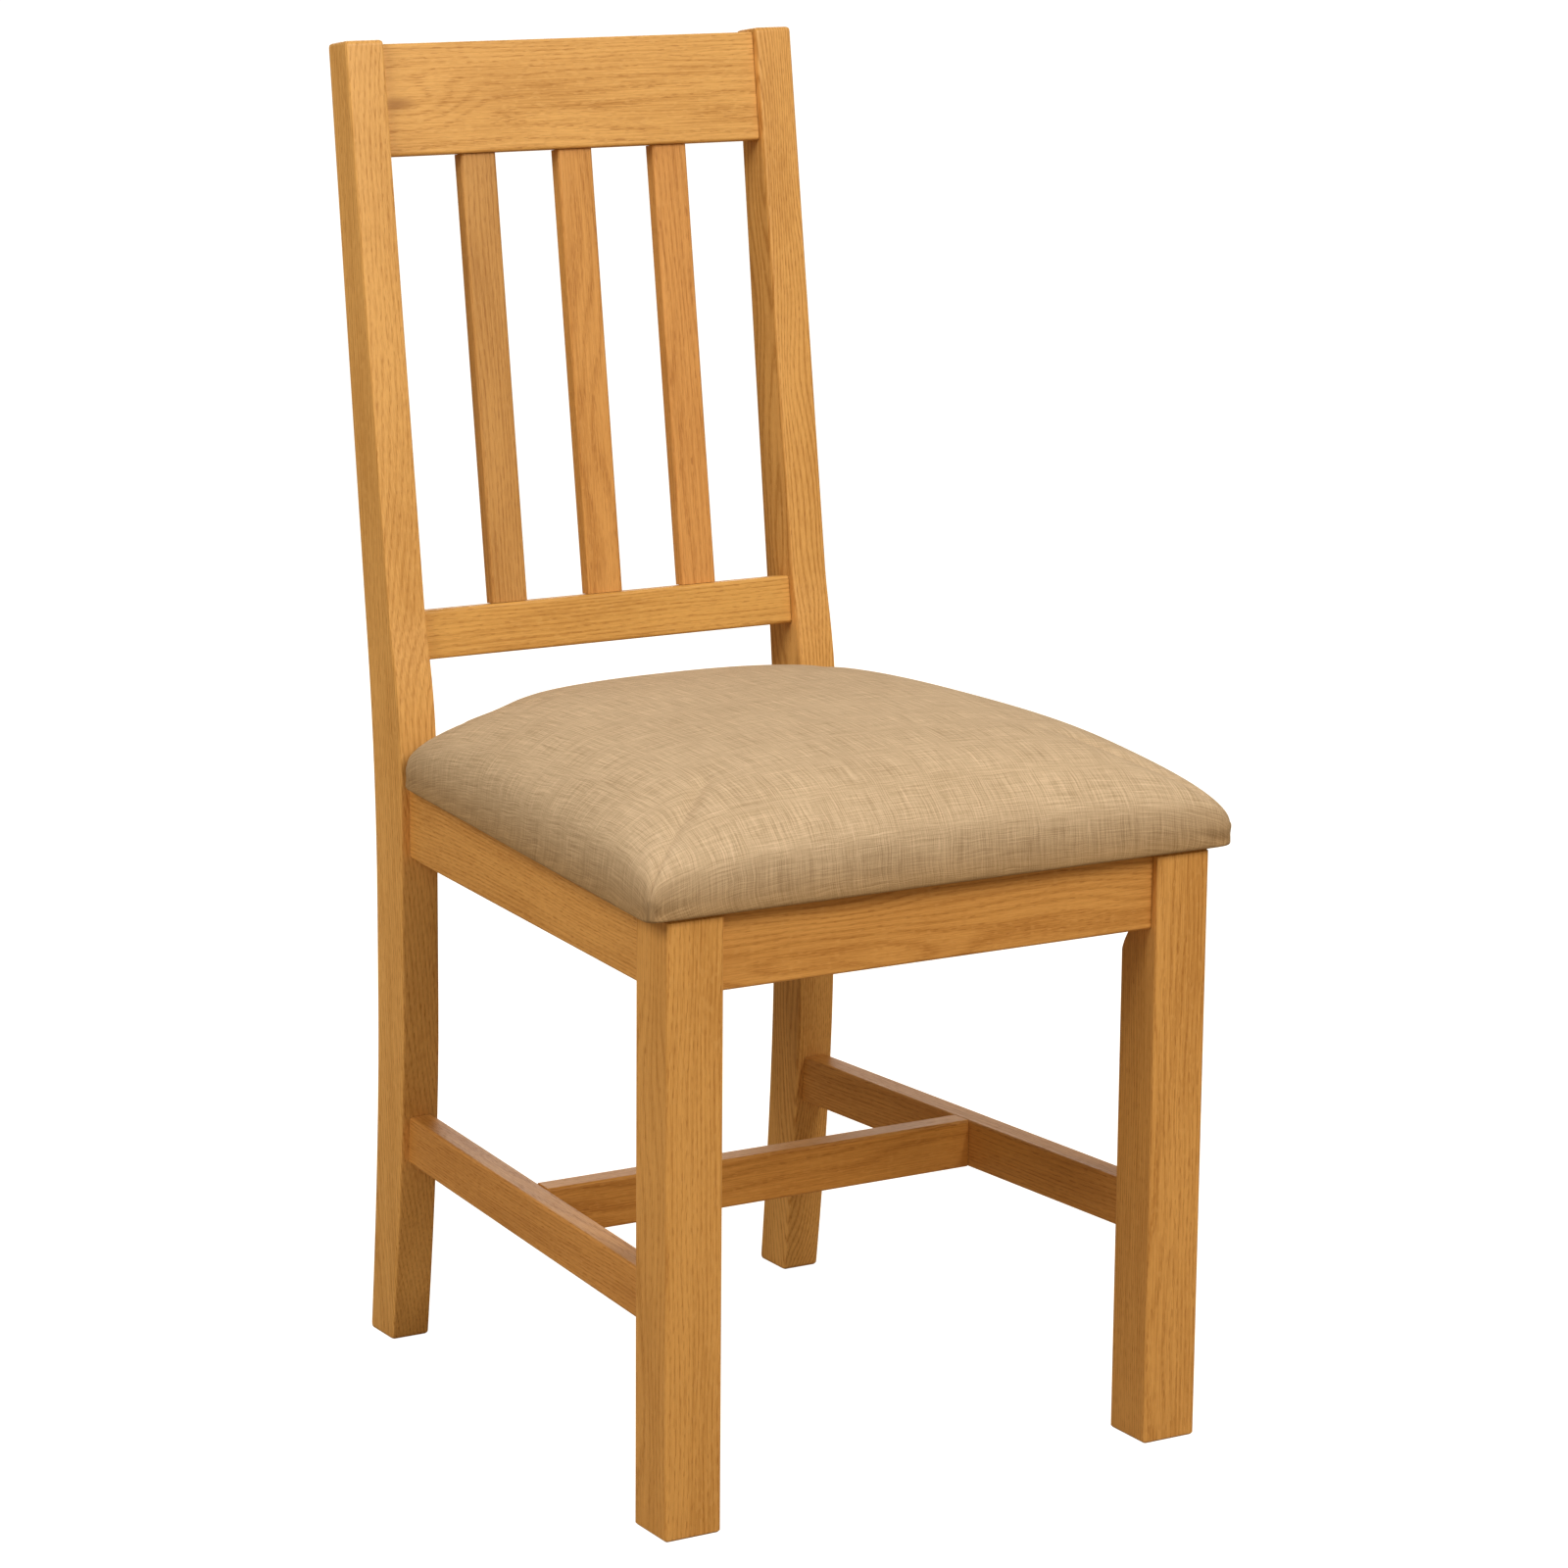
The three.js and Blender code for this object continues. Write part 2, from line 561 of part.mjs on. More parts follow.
/** The foam: a crowned solid on the board, just inside the cloth. */
function seatFoamGeometry() {
  const bottom = boardTop + fit;
  const foam = padSurface({
    inset: foamInset, edge: bottom + foamGap, crown: padTop - clothThickness - foamGap, bottom });
  const middle = foam.points.length + foam.skirt.length;
  const faces = padFaces(foam, 0, false);
  foam.skirt.forEach((_, i) => {
    const next = (i + 1) % foam.skirt.length;
    faces.push(middle, foam.points.length + next, foam.points.length + i);
  });
  return meshGeometry([...foam.points, ...foam.skirt, [0, (padFront + padBack) / 2, bottom]], faces);
}

/** A flat seat-shaped plate from height `bottom` up, `inset` inside the pad's outline. */
function seatPlate(inset, bottom, thickness, corner) {
  const [front, back] = [padFront + inset, padBack - inset];
  const [wide, narrow] = [padHalfFront - inset, padHalfBack - inset];
  const lean = ((wide - narrow) / (back - front)) * corner; // how far a side closes in over a corner
  const plan = new THREE.Shape();
  plan.moveTo(-wide + corner, front);
  plan.lineTo(wide - corner, front);
  plan.quadraticCurveTo(wide, front, wide - lean, front + corner);
  plan.lineTo(narrow + lean, back - corner);
  plan.quadraticCurveTo(narrow, back, narrow - corner, back);
  plan.lineTo(-narrow + corner, back);
  plan.quadraticCurveTo(-narrow, back, -narrow - lean, back - corner);
  plan.lineTo(-wide + lean, front + corner);
  plan.quadraticCurveTo(-wide, front, -wide + corner, front);
  return at(extrude(plan, thickness, boardCornerSegments), 0, 0, bottom);
}

// ---------------------------------------------------------------- assembly
const chair = new THREE.Group();
chair.name = 'dining_chair';

/** Adds a piece: a solid or a geometry, under its own name and material. */
function addPiece(name, shape, material) {
  const mesh = new THREE.Mesh(shape.isBufferGeometry ? shape : geometryOf(shape), material);
  mesh.name = name;
  chair.add(mesh);
}

/** The solid with each of the cutters taken away in turn. */
const cut = (solid, cutters) => cutters.reduce((left, cutter) => left.subtract(cutter), solid);

layOutDowels();
layOutScrews();
const holes = dowelHoles();
const screwHoles = screws.map((screw) => solidOf(screwGeometry(screw, fit)));
const sides = [[-1, 'left'], [1, 'right']];

/** A stub tenon as a box, and the mortise that takes it, a clearance larger. */
function tenonPair(low, high) {
  const grownLow = low.map((value) => value - fit);
  const grownHigh = high.map((value) => value + fit);
  return { tenon: boxBetween(low, high), mortise: boxBetween(grownLow, grownHigh) };
}

// crest and lower rail: bars in the raked frame with a tenon into each post
const innerHalf = halfBack - postWidth; // to the inner face of a post
const backRails = [
  { name: 'crest_rail', bottom: crestBottom, height: crestHeight, thickness: crestThickness,
    material: paint.crest },
  { name: 'lower_back_rail', bottom: lowerRailAbove, height: lowerRailHeight, thickness: lowerRailThickness,
    material: paint.crest },
].map((rail) => {
  const end = innerHalf - fit;
  const tenons = tenonPair(
    [-innerHalf - tenonLength, backRailSetback + tenonShoulder, rail.bottom + tenonShoulder],
    [innerHalf + tenonLength, backRailSetback + rail.thickness - tenonShoulder,
      rail.bottom + rail.height - tenonShoulder]);
  const bar = raked(barAlongX(-end, end, backRailSetback, rail.thickness, rail.bottom, rail.height));
  return { ...rail, solid: bar.add(raked(tenons.tenon)), mortise: raked(tenons.mortise) };
});

// slats: bars along the rake with a tenon up into the crest and down into the lower rail
const slatMortises = [];
for (const [index, word] of [[-1, 'left'], [0, 'centre'], [1, 'right']]) {
  const middle = index * slatPitch;
  const [low, high] = [lowerRailTop + fit, crestBottom - fit];
  const slat = at(extrude(easedRectangle(slatWidth, slatThickness, railEase), high - low),
    middle, slatSetback + slatThickness / 2, low);
  const tenons = tenonPair(
    [middle - slatWidth / 2 + slatTenonShoulder, slatSetback + slatTenonShoulder, lowerRailTop - slatTenon],
    [middle + slatWidth / 2 - slatTenonShoulder, slatSetback + slatThickness - slatTenonShoulder,
      crestBottom + slatTenon]);
  slatMortises.push(raked(tenons.mortise));
  addPiece(`back_slat_${word}`, raked(slat).add(raked(tenons.tenon)), paint.slat());
}
for (const rail of backRails) addPiece(rail.name, cut(rail.solid, slatMortises), rail.material());

// side stretchers, and the cross stretcher between them
const grownPosts = { [-1]: postSolid(-1, fit), [1]: postSolid(1, fit) };
const crossMiddle = crossStretcherFront + stretcherThickness / 2;
const crossHalf = sideFaceX(1, crossMiddle) - stretcherInset - stretcherThickness;
const crossTenons = tenonPair(
  [-crossHalf - tenonLength + tenonShoulder, crossStretcherFront + tenonShoulder,
    stretcherBottom + tenonShoulder],
  [crossHalf + tenonLength - tenonShoulder, crossStretcherFront + stretcherThickness - tenonShoulder,
    stretcherTop - tenonShoulder]);
const crossMortise = solidOf(crossTenons.mortise);
const sideStretchers = sides.map(([side, word]) => {
  const [front, rear] = [legSection + fit, seatDepth + footKick];
  const bar = solidOf(barAlongSide(side, front, rear, stretcherInset, stretcherThickness,
    stretcherBottom, stretcherHeight)).subtract(grownPosts[side]);
  const tenonAt = (y, length) => {
    const middle = sideFaceX(side, y) - side * (stretcherInset + stretcherThickness / 2);
    const half = stretcherThickness / 2 - tenonShoulder;
    return tenonPair([middle - half, Math.min(y, y + length), stretcherBottom + tenonShoulder],
      [middle + half, Math.max(y, y + length), stretcherTop - tenonShoulder]);
  };
  const frontEnd = tenonAt(legSection + 2 * fit, -tenonLength - 2 * fit);
  const rearStart = seatDepth - 2 * fit;
  const rearEnd = tenonAt(rearStart, tenonLength + railEase * 2);
  const solid = bar.add(solidOf(frontEnd.tenon)).add(solidOf(rearEnd.tenon));
  return { side, word, solid, mortises: [solidOf(frontEnd.mortise), solidOf(rearEnd.mortise)] };
});
for (const stretcher of sideStretchers) {
  addPiece(`side_stretcher_${stretcher.word}`, stretcher.solid.subtract(crossMortise), paint.stretcher());
}
const crossBar = solidOf(barAlongX(-halfFront, halfFront, crossStretcherFront, stretcherThickness,
  stretcherBottom, stretcherHeight));
const crossTrim = sides.map(([side]) => {
  // what lies outside the inner face of a side stretcher, a clearance larger
  const outside = barAlongSide(side, 0, seatDepth, stretcherInset - halfFront,
    stretcherThickness + halfFront + fit, 0, railBottom);
  return solidOf(outside);
});
addPiece('cross_stretcher', cut(crossBar, crossTrim).add(solidOf(crossTenons.tenon)), paint.stretcher());

// legs and posts, cut for every dowel and tenon that enters them
const stretcherMortises = sideStretchers.flatMap(({ mortises }) => mortises);
for (const [side, word] of sides) {
  addPiece(`front_leg_${word}`, cut(legSolid(side), [...holes, ...stretcherMortises]), paint.leg());
  const mortises = [...holes, ...stretcherMortises, ...backRails.map((rail) => rail.mortise)];
  addPiece(`back_post_${word}`, cut(postSolid(side), mortises), paint.post());
}

// seat rails
const frontRailEnd = halfFront - legSection - fit;
const frontRail = solidOf(barAlongX(-frontRailEnd, frontRailEnd, frontRailInset, railThickness,
  railBottom, railHeight));
addPiece('front_seat_rail', cut(frontRail, [...holes, ...screwHoles]), paint.rail());
const backRail = solidOf(barAlongX(-innerHalf + fit, innerHalf - fit, backRailFront, railThickness,
  railBottom, railHeight));
addPiece('back_seat_rail', cut(backRail, [...holes, ...screwHoles]), paint.rail());
for (const [side, word] of sides) {
  const rail = solidOf(barAlongSide(side, legSection + fit, seatDepth - fit, sideRailInset, railThickness,
    railBottom, railHeight));
  addPiece(`side_seat_rail_${word}`, cut(rail, [...holes, ...screwHoles]), paint.rail());
}

// corner blocks, dowels and screws
for (const [side, word] of sides) {
  for (const end of ['front', 'back']) {
    addPiece(`corner_block_${end}_${word}`, cut(blockSolid(side, end), screwHoles), paint.block());
  }
}
for (const dowel of dowels) addPiece(dowel.name, dowelSolid(dowel), paint.dowel());
for (const screw of screws) addPiece(screw.name, screwGeometry(screw), paint.steel());

// the pad: dust cover, board, foam and cloth, stacked on the rails
const seatLayer = (inset, bottom, thickness) =>
  cut(solidOf(seatPlate(inset, bottom, thickness, boardCorner)), screwHoles);
addPiece('seat_dust_cover', seatLayer(dustCoverInset, padBase, dustCoverThickness), paint.dust());
addPiece('seat_board', seatLayer(boardInset, boardBottom, boardThickness), paint.ply());
addPiece('seat_foam', seatFoamGeometry(), paint.foam());
addPiece('seat_cover', seatCoverGeometry(), paint.cloth());

// the origin: on the floor, at the middle of the chair's bounding box
chair.position.y = -(padFront + chairRear) / 2;

export default chair;
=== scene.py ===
"""Dining chair: its timber, its linen seat pad and a plain studio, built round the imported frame."""

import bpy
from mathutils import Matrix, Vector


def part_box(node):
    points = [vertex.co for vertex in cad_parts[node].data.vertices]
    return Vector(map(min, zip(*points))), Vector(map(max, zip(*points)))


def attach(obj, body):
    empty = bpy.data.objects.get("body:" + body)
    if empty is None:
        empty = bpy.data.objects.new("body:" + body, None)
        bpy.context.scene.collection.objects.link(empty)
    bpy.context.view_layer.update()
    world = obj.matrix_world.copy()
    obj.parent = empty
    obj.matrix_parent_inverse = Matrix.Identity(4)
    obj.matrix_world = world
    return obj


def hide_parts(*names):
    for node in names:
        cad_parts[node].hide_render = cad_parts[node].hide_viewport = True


bl_info = {
    "name": "Dining chair",
    "version": (1, 0, 0),
    "blender": (4, 5, 0),
    "location": "View3D > Sidebar > Chair",
    "description": "Finishes the oak frame of a dining chair and upholsters its seat",
    "category": "Object",
}

import math

import bpy
import numpy as np
from bpy.props import (
    FloatProperty,
    FloatVectorProperty,
    IntProperty,
    PointerProperty,
)
from mathutils import Matrix, Vector

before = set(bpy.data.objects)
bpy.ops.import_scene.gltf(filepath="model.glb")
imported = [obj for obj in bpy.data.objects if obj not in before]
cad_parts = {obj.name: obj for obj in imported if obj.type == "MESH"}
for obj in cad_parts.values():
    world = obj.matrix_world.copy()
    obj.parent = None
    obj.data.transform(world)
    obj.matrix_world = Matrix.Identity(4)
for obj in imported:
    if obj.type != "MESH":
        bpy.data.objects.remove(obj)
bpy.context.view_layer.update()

MM = 0.001
PAD_LOW, PAD_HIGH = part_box("seat_cover")
NOSE_RINGS = 7  # rings of points round the pad's nose
BAR_THICKNESS = 20 * MM  # of the seat rails and stretchers
SIDE_OVERHANG = 23 * MM  # pad past the outer face of a leg
POST_OVERHANG = 5 * MM  # pad past the outer face of a post
COVER_INSET = 16 * MM  # dust cover inside the pad's outline


# ---------------------------------------------------------------- shader helpers
class Value:
    """One shader socket. Arithmetic on it adds Math nodes to its recipe."""

    def __init__(self, recipe, socket):
        self.recipe = recipe
        self.socket = socket

    def math(self, operation, *others, clamp=False):
        settings = {"operation": operation, "use_clamp": clamp}
        return self.recipe.add("ShaderNodeMath", settings, dict(enumerate((self, *others))))

    def _flipped(self, operation, other):
        return self.recipe.add("ShaderNodeMath", {"operation": operation}, {0: other, 1: self})

    def __add__(self, other):
        return self.math("ADD", other)

    def __sub__(self, other):
        return self.math("SUBTRACT", other)

    def __mul__(self, other):
        return self.math("MULTIPLY", other)

    def __truediv__(self, other):
        return self.math("DIVIDE", other)

    def __pow__(self, other):
        return self.math("POWER", other)

    def __radd__(self, other):
        return self._flipped("ADD", other)

    def __rsub__(self, other):
        return self._flipped("SUBTRACT", other)

    def __rmul__(self, other):
        return self._flipped("MULTIPLY", other)


class Recipe:
    """A new material or world, its owner, and the nodes that make it."""

    def __init__(self, name, owners=None):
        owners = bpy.data.materials if owners is None else owners
        self.owner = owners.new(name)
        self.owner.use_nodes = True
        self.tree = self.owner.node_tree
        self.tree.nodes.clear()

    def add(self, kind, settings=None, inputs=None, output=0):
        """
        Adds a node: its settings, then a number, colour or link for each socket. Returns one of its
        outputs, or nothing where it has none.
        """
        node = self.tree.nodes.new(kind)
        for key, setting in (settings or {}).items():
            setattr(node, key, setting)
        for key, given in (inputs or {}).items():
            if isinstance(given, Value):
                self.tree.links.new(given.socket, node.inputs[key])
            else:
                node.inputs[key].default_value = given
        return Value(self, node.outputs[output]) if node.outputs else None

    def object_place(self):
        return self.add("ShaderNodeTexCoord", output="Object")

    def millimetres(self, vector):
        """A place in metres as one in millimetres."""
        return self.scaled(vector, (1 / MM, 1 / MM, 1 / MM))

    def scaled(self, vector, scale):
        return self.add("ShaderNodeVectorMath", {"operation": "MULTIPLY"}, {0: vector, 1: scale})

    def moved(self, vector, step):
        return self.add("ShaderNodeVectorMath", {"operation": "ADD"}, {0: vector, 1: step})

    def length(self, vector):
        return self.add("ShaderNodeVectorMath", {"operation": "LENGTH"}, {0: vector}, "Value")

    def noise(self, vector, detail=2.0, roughness=0.5):
        """Smooth noise in 0..1, with one cell to each unit of the vector."""
        inputs = {"Vector": vector, "Scale": 1.0, "Detail": detail, "Roughness": roughness}
        return self.add("ShaderNodeTexNoise", None, inputs, "Fac")

    def step(self, value, low, high):
        """0 below low and 1 above high, with a smooth rise between them."""
        settings = {"interpolation_type": "SMOOTHSTEP"}
        return self.add("ShaderNodeMapRange", settings, {"Value": value, "From Min": low, "From Max": high})

    def blend(self, factor, first, second, how="MIX"):
        """The first colour where factor is 0, the second where it is 1."""
        settings = {"data_type": "RGBA", "blend_type": how}
        return self.add("ShaderNodeMix", settings, {0: factor, 6: first, 7: second}, output=2)

    def parts(self, vector):
        """The X, Y and Z of a vector."""
        first = self.add("ShaderNodeSeparateXYZ", None, {0: vector})
        outputs = first.socket.node.outputs
        return [Value(self, outputs[i]) for i in range(3)]

    def bump(self, height, distance, strength=1.0):
        inputs = {"Height": height, "Distance": distance, "Strength": strength}
        return self.add("ShaderNodeBump", None, inputs)

    def finish(self, inputs):
        """Ends the recipe in a Principled shader with these sockets."""
        return self.ended(self.add("ShaderNodeBsdfPrincipled", None, inputs))

    def ended(self, shader, kind="ShaderNodeOutputMaterial"):
        """Puts the shader on the surface. Returns the finished material or world."""
        self.add(kind, None, {"Surface": shader})
        return self.owner


def tinted(colour, factors):
    """A colour times a factor for each channel, as the four numbers that a socket takes."""
    return (*[min(1.0, c * f) for c, f in zip(colour, factors)], 1.0)


# ---------------------------------------------------------------- settings
class OakSettings(bpy.types.PropertyGroup):
    """Colours and grain of the satin oak."""

    tone: FloatVectorProperty(
        name="Tone",
        description="Colour of the plain wood between its flecks",
        default=(0.635, 0.312, 0.079),
        subtype="COLOR",
        min=0.0,
        max=1.0,
    )
    ring_width: FloatProperty(
        name="Ring width",
        description="Distance between two growth rings",
        default=2.6 * MM,
        unit="LENGTH",
        subtype="DISTANCE",
    )
    fleck: FloatProperty(
        name="Flecks",
        description="How dark the open pores are",
        default=0.5,
        min=0.0,
        max=1.0,
        subtype="FACTOR",
    )
    roughness: FloatProperty(
        name="Roughness",
        description="Roughness of the satin lacquer",
        default=0.42,
        min=0.0,
        max=1.0,
        subtype="FACTOR",
    )
    rake: FloatProperty(
        name="Rake",
        description="Lean of the back from upright",
        default=math.radians(8.4),
        subtype="ANGLE",
        unit="ROTATION",
    )


class PadSettings(bpy.types.PropertyGroup):
    """Shape and cloth of the seat pad."""

    edge: FloatProperty(
        name="Edge",
        description="Height of the pad's nose above the rails",
        default=17 * MM,
        subtype="DISTANCE",
        unit="LENGTH",
    )
    tuck: FloatProperty(
        name="Tuck",
        description="How far the cloth turns in under the nose",
        default=7 * MM,
        subtype="DISTANCE",
        unit="LENGTH",
    )
    pressure: FloatProperty(
        name="Pressure",
        description="Pressure of the foam against the cloth",
        default=4.0,
    )
    swell: FloatProperty(
        name="Swell",
        description="Furthest that the cloth moves as it is puffed up",
        default=5 * MM,
        subtype="DISTANCE",
        unit="LENGTH",
    )
    cells: IntProperty(
        name="Cells",
        description="Cells of the pad's grid each way",
        default=96,
        min=16,
        max=160,
    )
    linen: FloatVectorProperty(
        name="Linen",
        description="Colour of the cloth",
        default=(0.60, 0.44, 0.275),
        subtype="COLOR",
        min=0.0,
        max=1.0,
    )
    # Painted shade: below this height over the rails the cloth's colour is darkened.
    painted_shade_height: FloatProperty(
        name="Shaded height",
        description="Height over the rails at which the cloth is no longer dusky",
        default=46 * MM,
        subtype="DISTANCE",
        unit="LENGTH",
    )
    thread: FloatProperty(
        name="Thread",
        description="Distance between two threads",
        default=1.1 * MM,
        subtype="DISTANCE",
        unit="LENGTH",
    )


class StageSettings(bpy.types.PropertyGroup):
    """Camera and light."""

    place: FloatVectorProperty(
        name="Camera place",
        description="Where the camera stands",
        default=(-1.8600, -3.1418, 1.2680),
        subtype="TRANSLATION",
        unit="LENGTH",
    )
    azimuth: FloatProperty(
        name="Azimuth",
        description="Turn of the camera round the chair, from straight in front",
        default=-0.5430901,
        subtype="ANGLE",
        unit="ROTATION",
    )
    elevation: FloatProperty(
        name="Elevation",
        description="How far the camera looks down",
        default=0.2172153,
        subtype="ANGLE",
        unit="ROTATION",
    )
    roll: FloatProperty(
        name="Roll",
        description="Tilt of the camera about its own axis",
        default=0.0085015,
        subtype="ANGLE",
        unit="ROTATION",
    )
    lens: FloatProperty(
        name="Lens",
        description="Focal length for a 36 mm sensor, in millimetres",
        default=115.26,
        subtype="DISTANCE_CAMERA",
    )
    front_light: FloatProperty(
        name="Front light",
        description="Power of the high front light",
        default=61.0,
        unit="POWER",
    )
    side_light: FloatProperty(
        name="Side light",
        description="Power of the high side light",
        default=48.0,
        unit="POWER",
    )
    back_light: FloatProperty(
        name="Back light",
        description="Power of the light behind the chair",
        default=22.0,
        unit="POWER",
    )
    ambient: FloatProperty(
        name="Ambient",
        description="Strength of the even light from all round",
        default=0.365,
    )


# ---------------------------------------------------------------- timber
ACROSS = Vector((1, 0, 0))
UPRIGHT = Vector((0, 0, 1))
POST_GRAIN = 0.6  # share of the rake that the grain of a post follows


def along_rake(rake):
    """Direction of the raked back."""
    return Vector((0, math.sin(rake), math.cos(rake)))


def along_side(node):
    """Direction of a bar that runs back from a leg to a post, closing in with the seat."""
    low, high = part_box(node)
    side = math.copysign(1.0, low.x + high.x)
    return Vector((-side * (high.x - low.x - BAR_THICKNESS), high.y - low.y, 0)).normalized()


def oak(settings, node, direction, tint, pith, seed, knot=None, figure=1.0):
    """
    Satin oak, cut from a log. Millimetres along a board's own axes, Z with the grain. Growth rings are
    the distance from the pith, wandering a little; pores are short thin dashes, thickest in each
    ring's early wood. A knot, given as its place and reach, bends the rings round it and darkens.
    Figure is how strongly the rings wander and show.
    """
    recipe = Recipe(node + "_oak")
    low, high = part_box(node)
    turn = direction.to_track_quat("Z", "X").to_euler()
    board = recipe.add("ShaderNodeMapping", {"vector_type": "TEXTURE"}, {
        "Vector": recipe.object_place(),
        "Location": (low + high) / 2,
        "Rotation": turn,
        "Scale": (MM, MM, MM),
    })
    shifted = recipe.moved(board, (seed * 31.0, seed * 17.0, seed * 517.0))

    # Noise cells in a millimetre: twice across the grain, then along it.
    wander_cells, cloud_cells = (0.021, 0.021, 0.0042), (0.034, 0.034, 0.0055)
    fibre_cells, pore_cells, ray_cells = (0.95, 0.95, 0.018), (1.55, 1.55, 0.13), (0.5, 0.9, 0.16)

    wander = (recipe.noise(recipe.scaled(shifted, wander_cells), 1.5) - 0.5) * (16 * figure)
    rings = recipe.moved(board, (*pith, 0))
    dark_spot = None
    if knot:
        *place, reach = knot
        far = recipe.length(recipe.scaled(recipe.moved(board, [-k for k in place]), (1, 1, 0.36)))
        pull = (1.0 - recipe.step(far, 0.0, reach * 4)) * reach
        rings = recipe.moved(rings, recipe.add("ShaderNodeCombineXYZ", None, {0: pull, 1: pull}))
        dark_spot = 1.0 - recipe.step(far, 0.0, reach)
    radius = recipe.length(recipe.scaled(rings, (1, 1, 0))) + wander
    turns = radius * (2 * math.pi * MM / settings.ring_width)
    early = (turns.math("COSINE") * 0.5 + 0.5) ** 2.4
    cloud = recipe.noise(recipe.scaled(shifted, cloud_cells), 1.0)
    fibre = recipe.noise(recipe.scaled(shifted, fibre_cells), 2.0, 0.7)
    dash = recipe.noise(recipe.scaled(shifted, pore_cells), 0.0)
    pores = recipe.step(dash, 0.56, 0.68) * (early * 0.65 + 0.35)
    ray = recipe.step(recipe.noise(recipe.scaled(shifted, ray_cells), 0.0), 0.6, 0.72)

    plain = tinted(settings.tone, tint)
    shade = early * (0.34 * figure) + (fibre - 0.5) * 1.9 + (cloud - 0.5) * 1.1 + 0.2
    colour = recipe.blend(shade.math("ADD", 0.0, clamp=True), tinted(plain, (1.14, 1.16, 1.2)),
                          tinted(plain, (0.76, 0.66, 0.5)))
    colour = recipe.blend(ray * 0.35, colour, tinted(plain, (1.14, 1.2, 1.35)))
    colour = recipe.blend(pores * settings.fleck, colour, tinted(plain, (0.52, 0.36, 0.2)))
    if dark_spot:
        colour = recipe.blend(dark_spot * 0.85, colour, tinted(plain, (0.5, 0.38, 0.28)))
    return recipe.finish({
        "Base Color": colour,
        "Roughness": (fibre - 0.5) * 0.22 + pores * 0.15 + settings.roughness,
        "IOR": 1.46,
        "Specular IOR Level": 0.32,
        "Coat Weight": 0.04,
        "Coat Roughness": 0.3,
        "Normal": recipe.bump(dash, 0.1 * MM, 0.5),
    })


def dress(node, material):
    """Gives a frame node its material and a soft shading over its eased edges."""
    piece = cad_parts[node]
    piece.data.materials.clear()
    piece.data.materials.append(material)
    piece.data.polygons.foreach_set("use_smooth", np.ones(len(piece.data.polygons), bool))
    weld = piece.modifiers.new("Weld", "WELD")
    weld.merge_threshold = 0.01 * MM
    split = piece.modifiers.new("Hard edges", "EDGE_SPLIT")
    split.split_angle = math.radians(36)
    weighted = piece.modifiers.new("Flat faces", "WEIGHTED_NORMAL")
    weighted.mode = "FACE_AREA"
    weighted.weight = 80


class CHAIR_OT_front_legs(bpy.types.Operator):
    """Satin oak for the front legs, with the grain upright"""

    bl_idname = "chair.front_legs"
    bl_label = "Front legs"

    def execute(self, context):
        settings = context.scene.chair_oak
        for node, tint, pith, seed in (
            ("front_leg_left", (0.98, 0.99, 1.0), (52, 30), 1),
            ("front_leg_right", (0.99, 0.99, 1.0), (-26, 24), 2),
        ):
            dress(node, oak(settings, node, UPRIGHT, tint, pith, seed))
        return {"FINISHED"}


class CHAIR_OT_back_posts(bpy.types.Operator):
    """Satin oak for the back posts, with the grain between upright and the rake"""

    bl_idname = "chair.back_posts"
    bl_label = "Back posts"

    def execute(self, context):
        settings = context.scene.chair_oak
        grain = along_rake(settings.rake * POST_GRAIN)
        for node, tint, pith, seed, figure in (
            ("back_post_left", (1.08, 1.16, 1.3), (44, 60), 3, 1.0),
            ("back_post_right", (1.03, 1.07, 1.13), (-31, 72), 4, 2.0),
        ):
            dress(node, oak(settings, node, grain, tint, pith, seed, figure=figure))
        return {"FINISHED"}


class CHAIR_OT_back_rails(bpy.types.Operator):
    """Satin oak for the crest rail, with its knot, and for the lower rail of the back"""

    bl_idname = "chair.back_rails"
    bl_label = "Crest and lower rail"

    def execute(self, context):
        settings = context.scene.chair_oak
        low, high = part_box("crest_rail")
        half = (high.x - low.x) / 2 / MM
        from_end, reach = 25, 8.0  # millimetres
        knot = (-2.0, 8.5, from_end - half, reach)
        for node, tint, pith, seed, at, figure in (
            ("crest_rail", (1.07, 1.15, 1.26), (25, 46), 5, knot, 0.7),
            ("lower_back_rail", (1.0, 1.05, 1.0), (48, 33), 6, None, 1.0),
        ):
            dress(node, oak(settings, node, ACROSS, tint, pith, seed, at, figure))
        return {"FINISHED"}


class CHAIR_OT_slats(bpy.types.Operator):
    """Satin oak for the three slats, each a different tone"""

    bl_idname = "chair.slats"
    bl_label = "Slats"

    def execute(self, context):
        settings = context.scene.chair_oak
        for node, tint, pith, seed in (
            ("back_slat_left", (0.83, 0.84, 0.9), (16, 30), 7),
            ("back_slat_centre", (0.98, 0.95, 0.96), (58, 12), 8),
            ("back_slat_right", (0.99, 0.94, 0.98), (-47, 25), 9),
        ):
            dress(node, oak(settings, node, along_rake(settings.rake), tint, pith, seed))
        return {"FINISHED"}


class CHAIR_OT_seat_rails(bpy.types.Operator):
    """Satin oak for the four seat rails, with the grain along each"""

    bl_idname = "chair.seat_rails"
    bl_label = "Seat rails"

    def execute(self, context):
        settings = context.scene.chair_oak
        for node, tint, pith, seed in (
            ("front_seat_rail", (0.93, 0.89, 0.84), (14, 24), 10),
            ("back_seat_rail", (0.93, 0.9, 0.86), (30, 44), 11),
            ("side_seat_rail_left", (1, 1, 1), (44, 26), 12),
            ("side_seat_rail_right", (0.98, 0.97, 0.95), (-28, 36), 13),
        ):
            direction = along_side(node) if node.startswith("side") else ACROSS
            dress(node, oak(settings, node, direction, tint, pith, seed, figure=1.25))
        return {"FINISHED"}


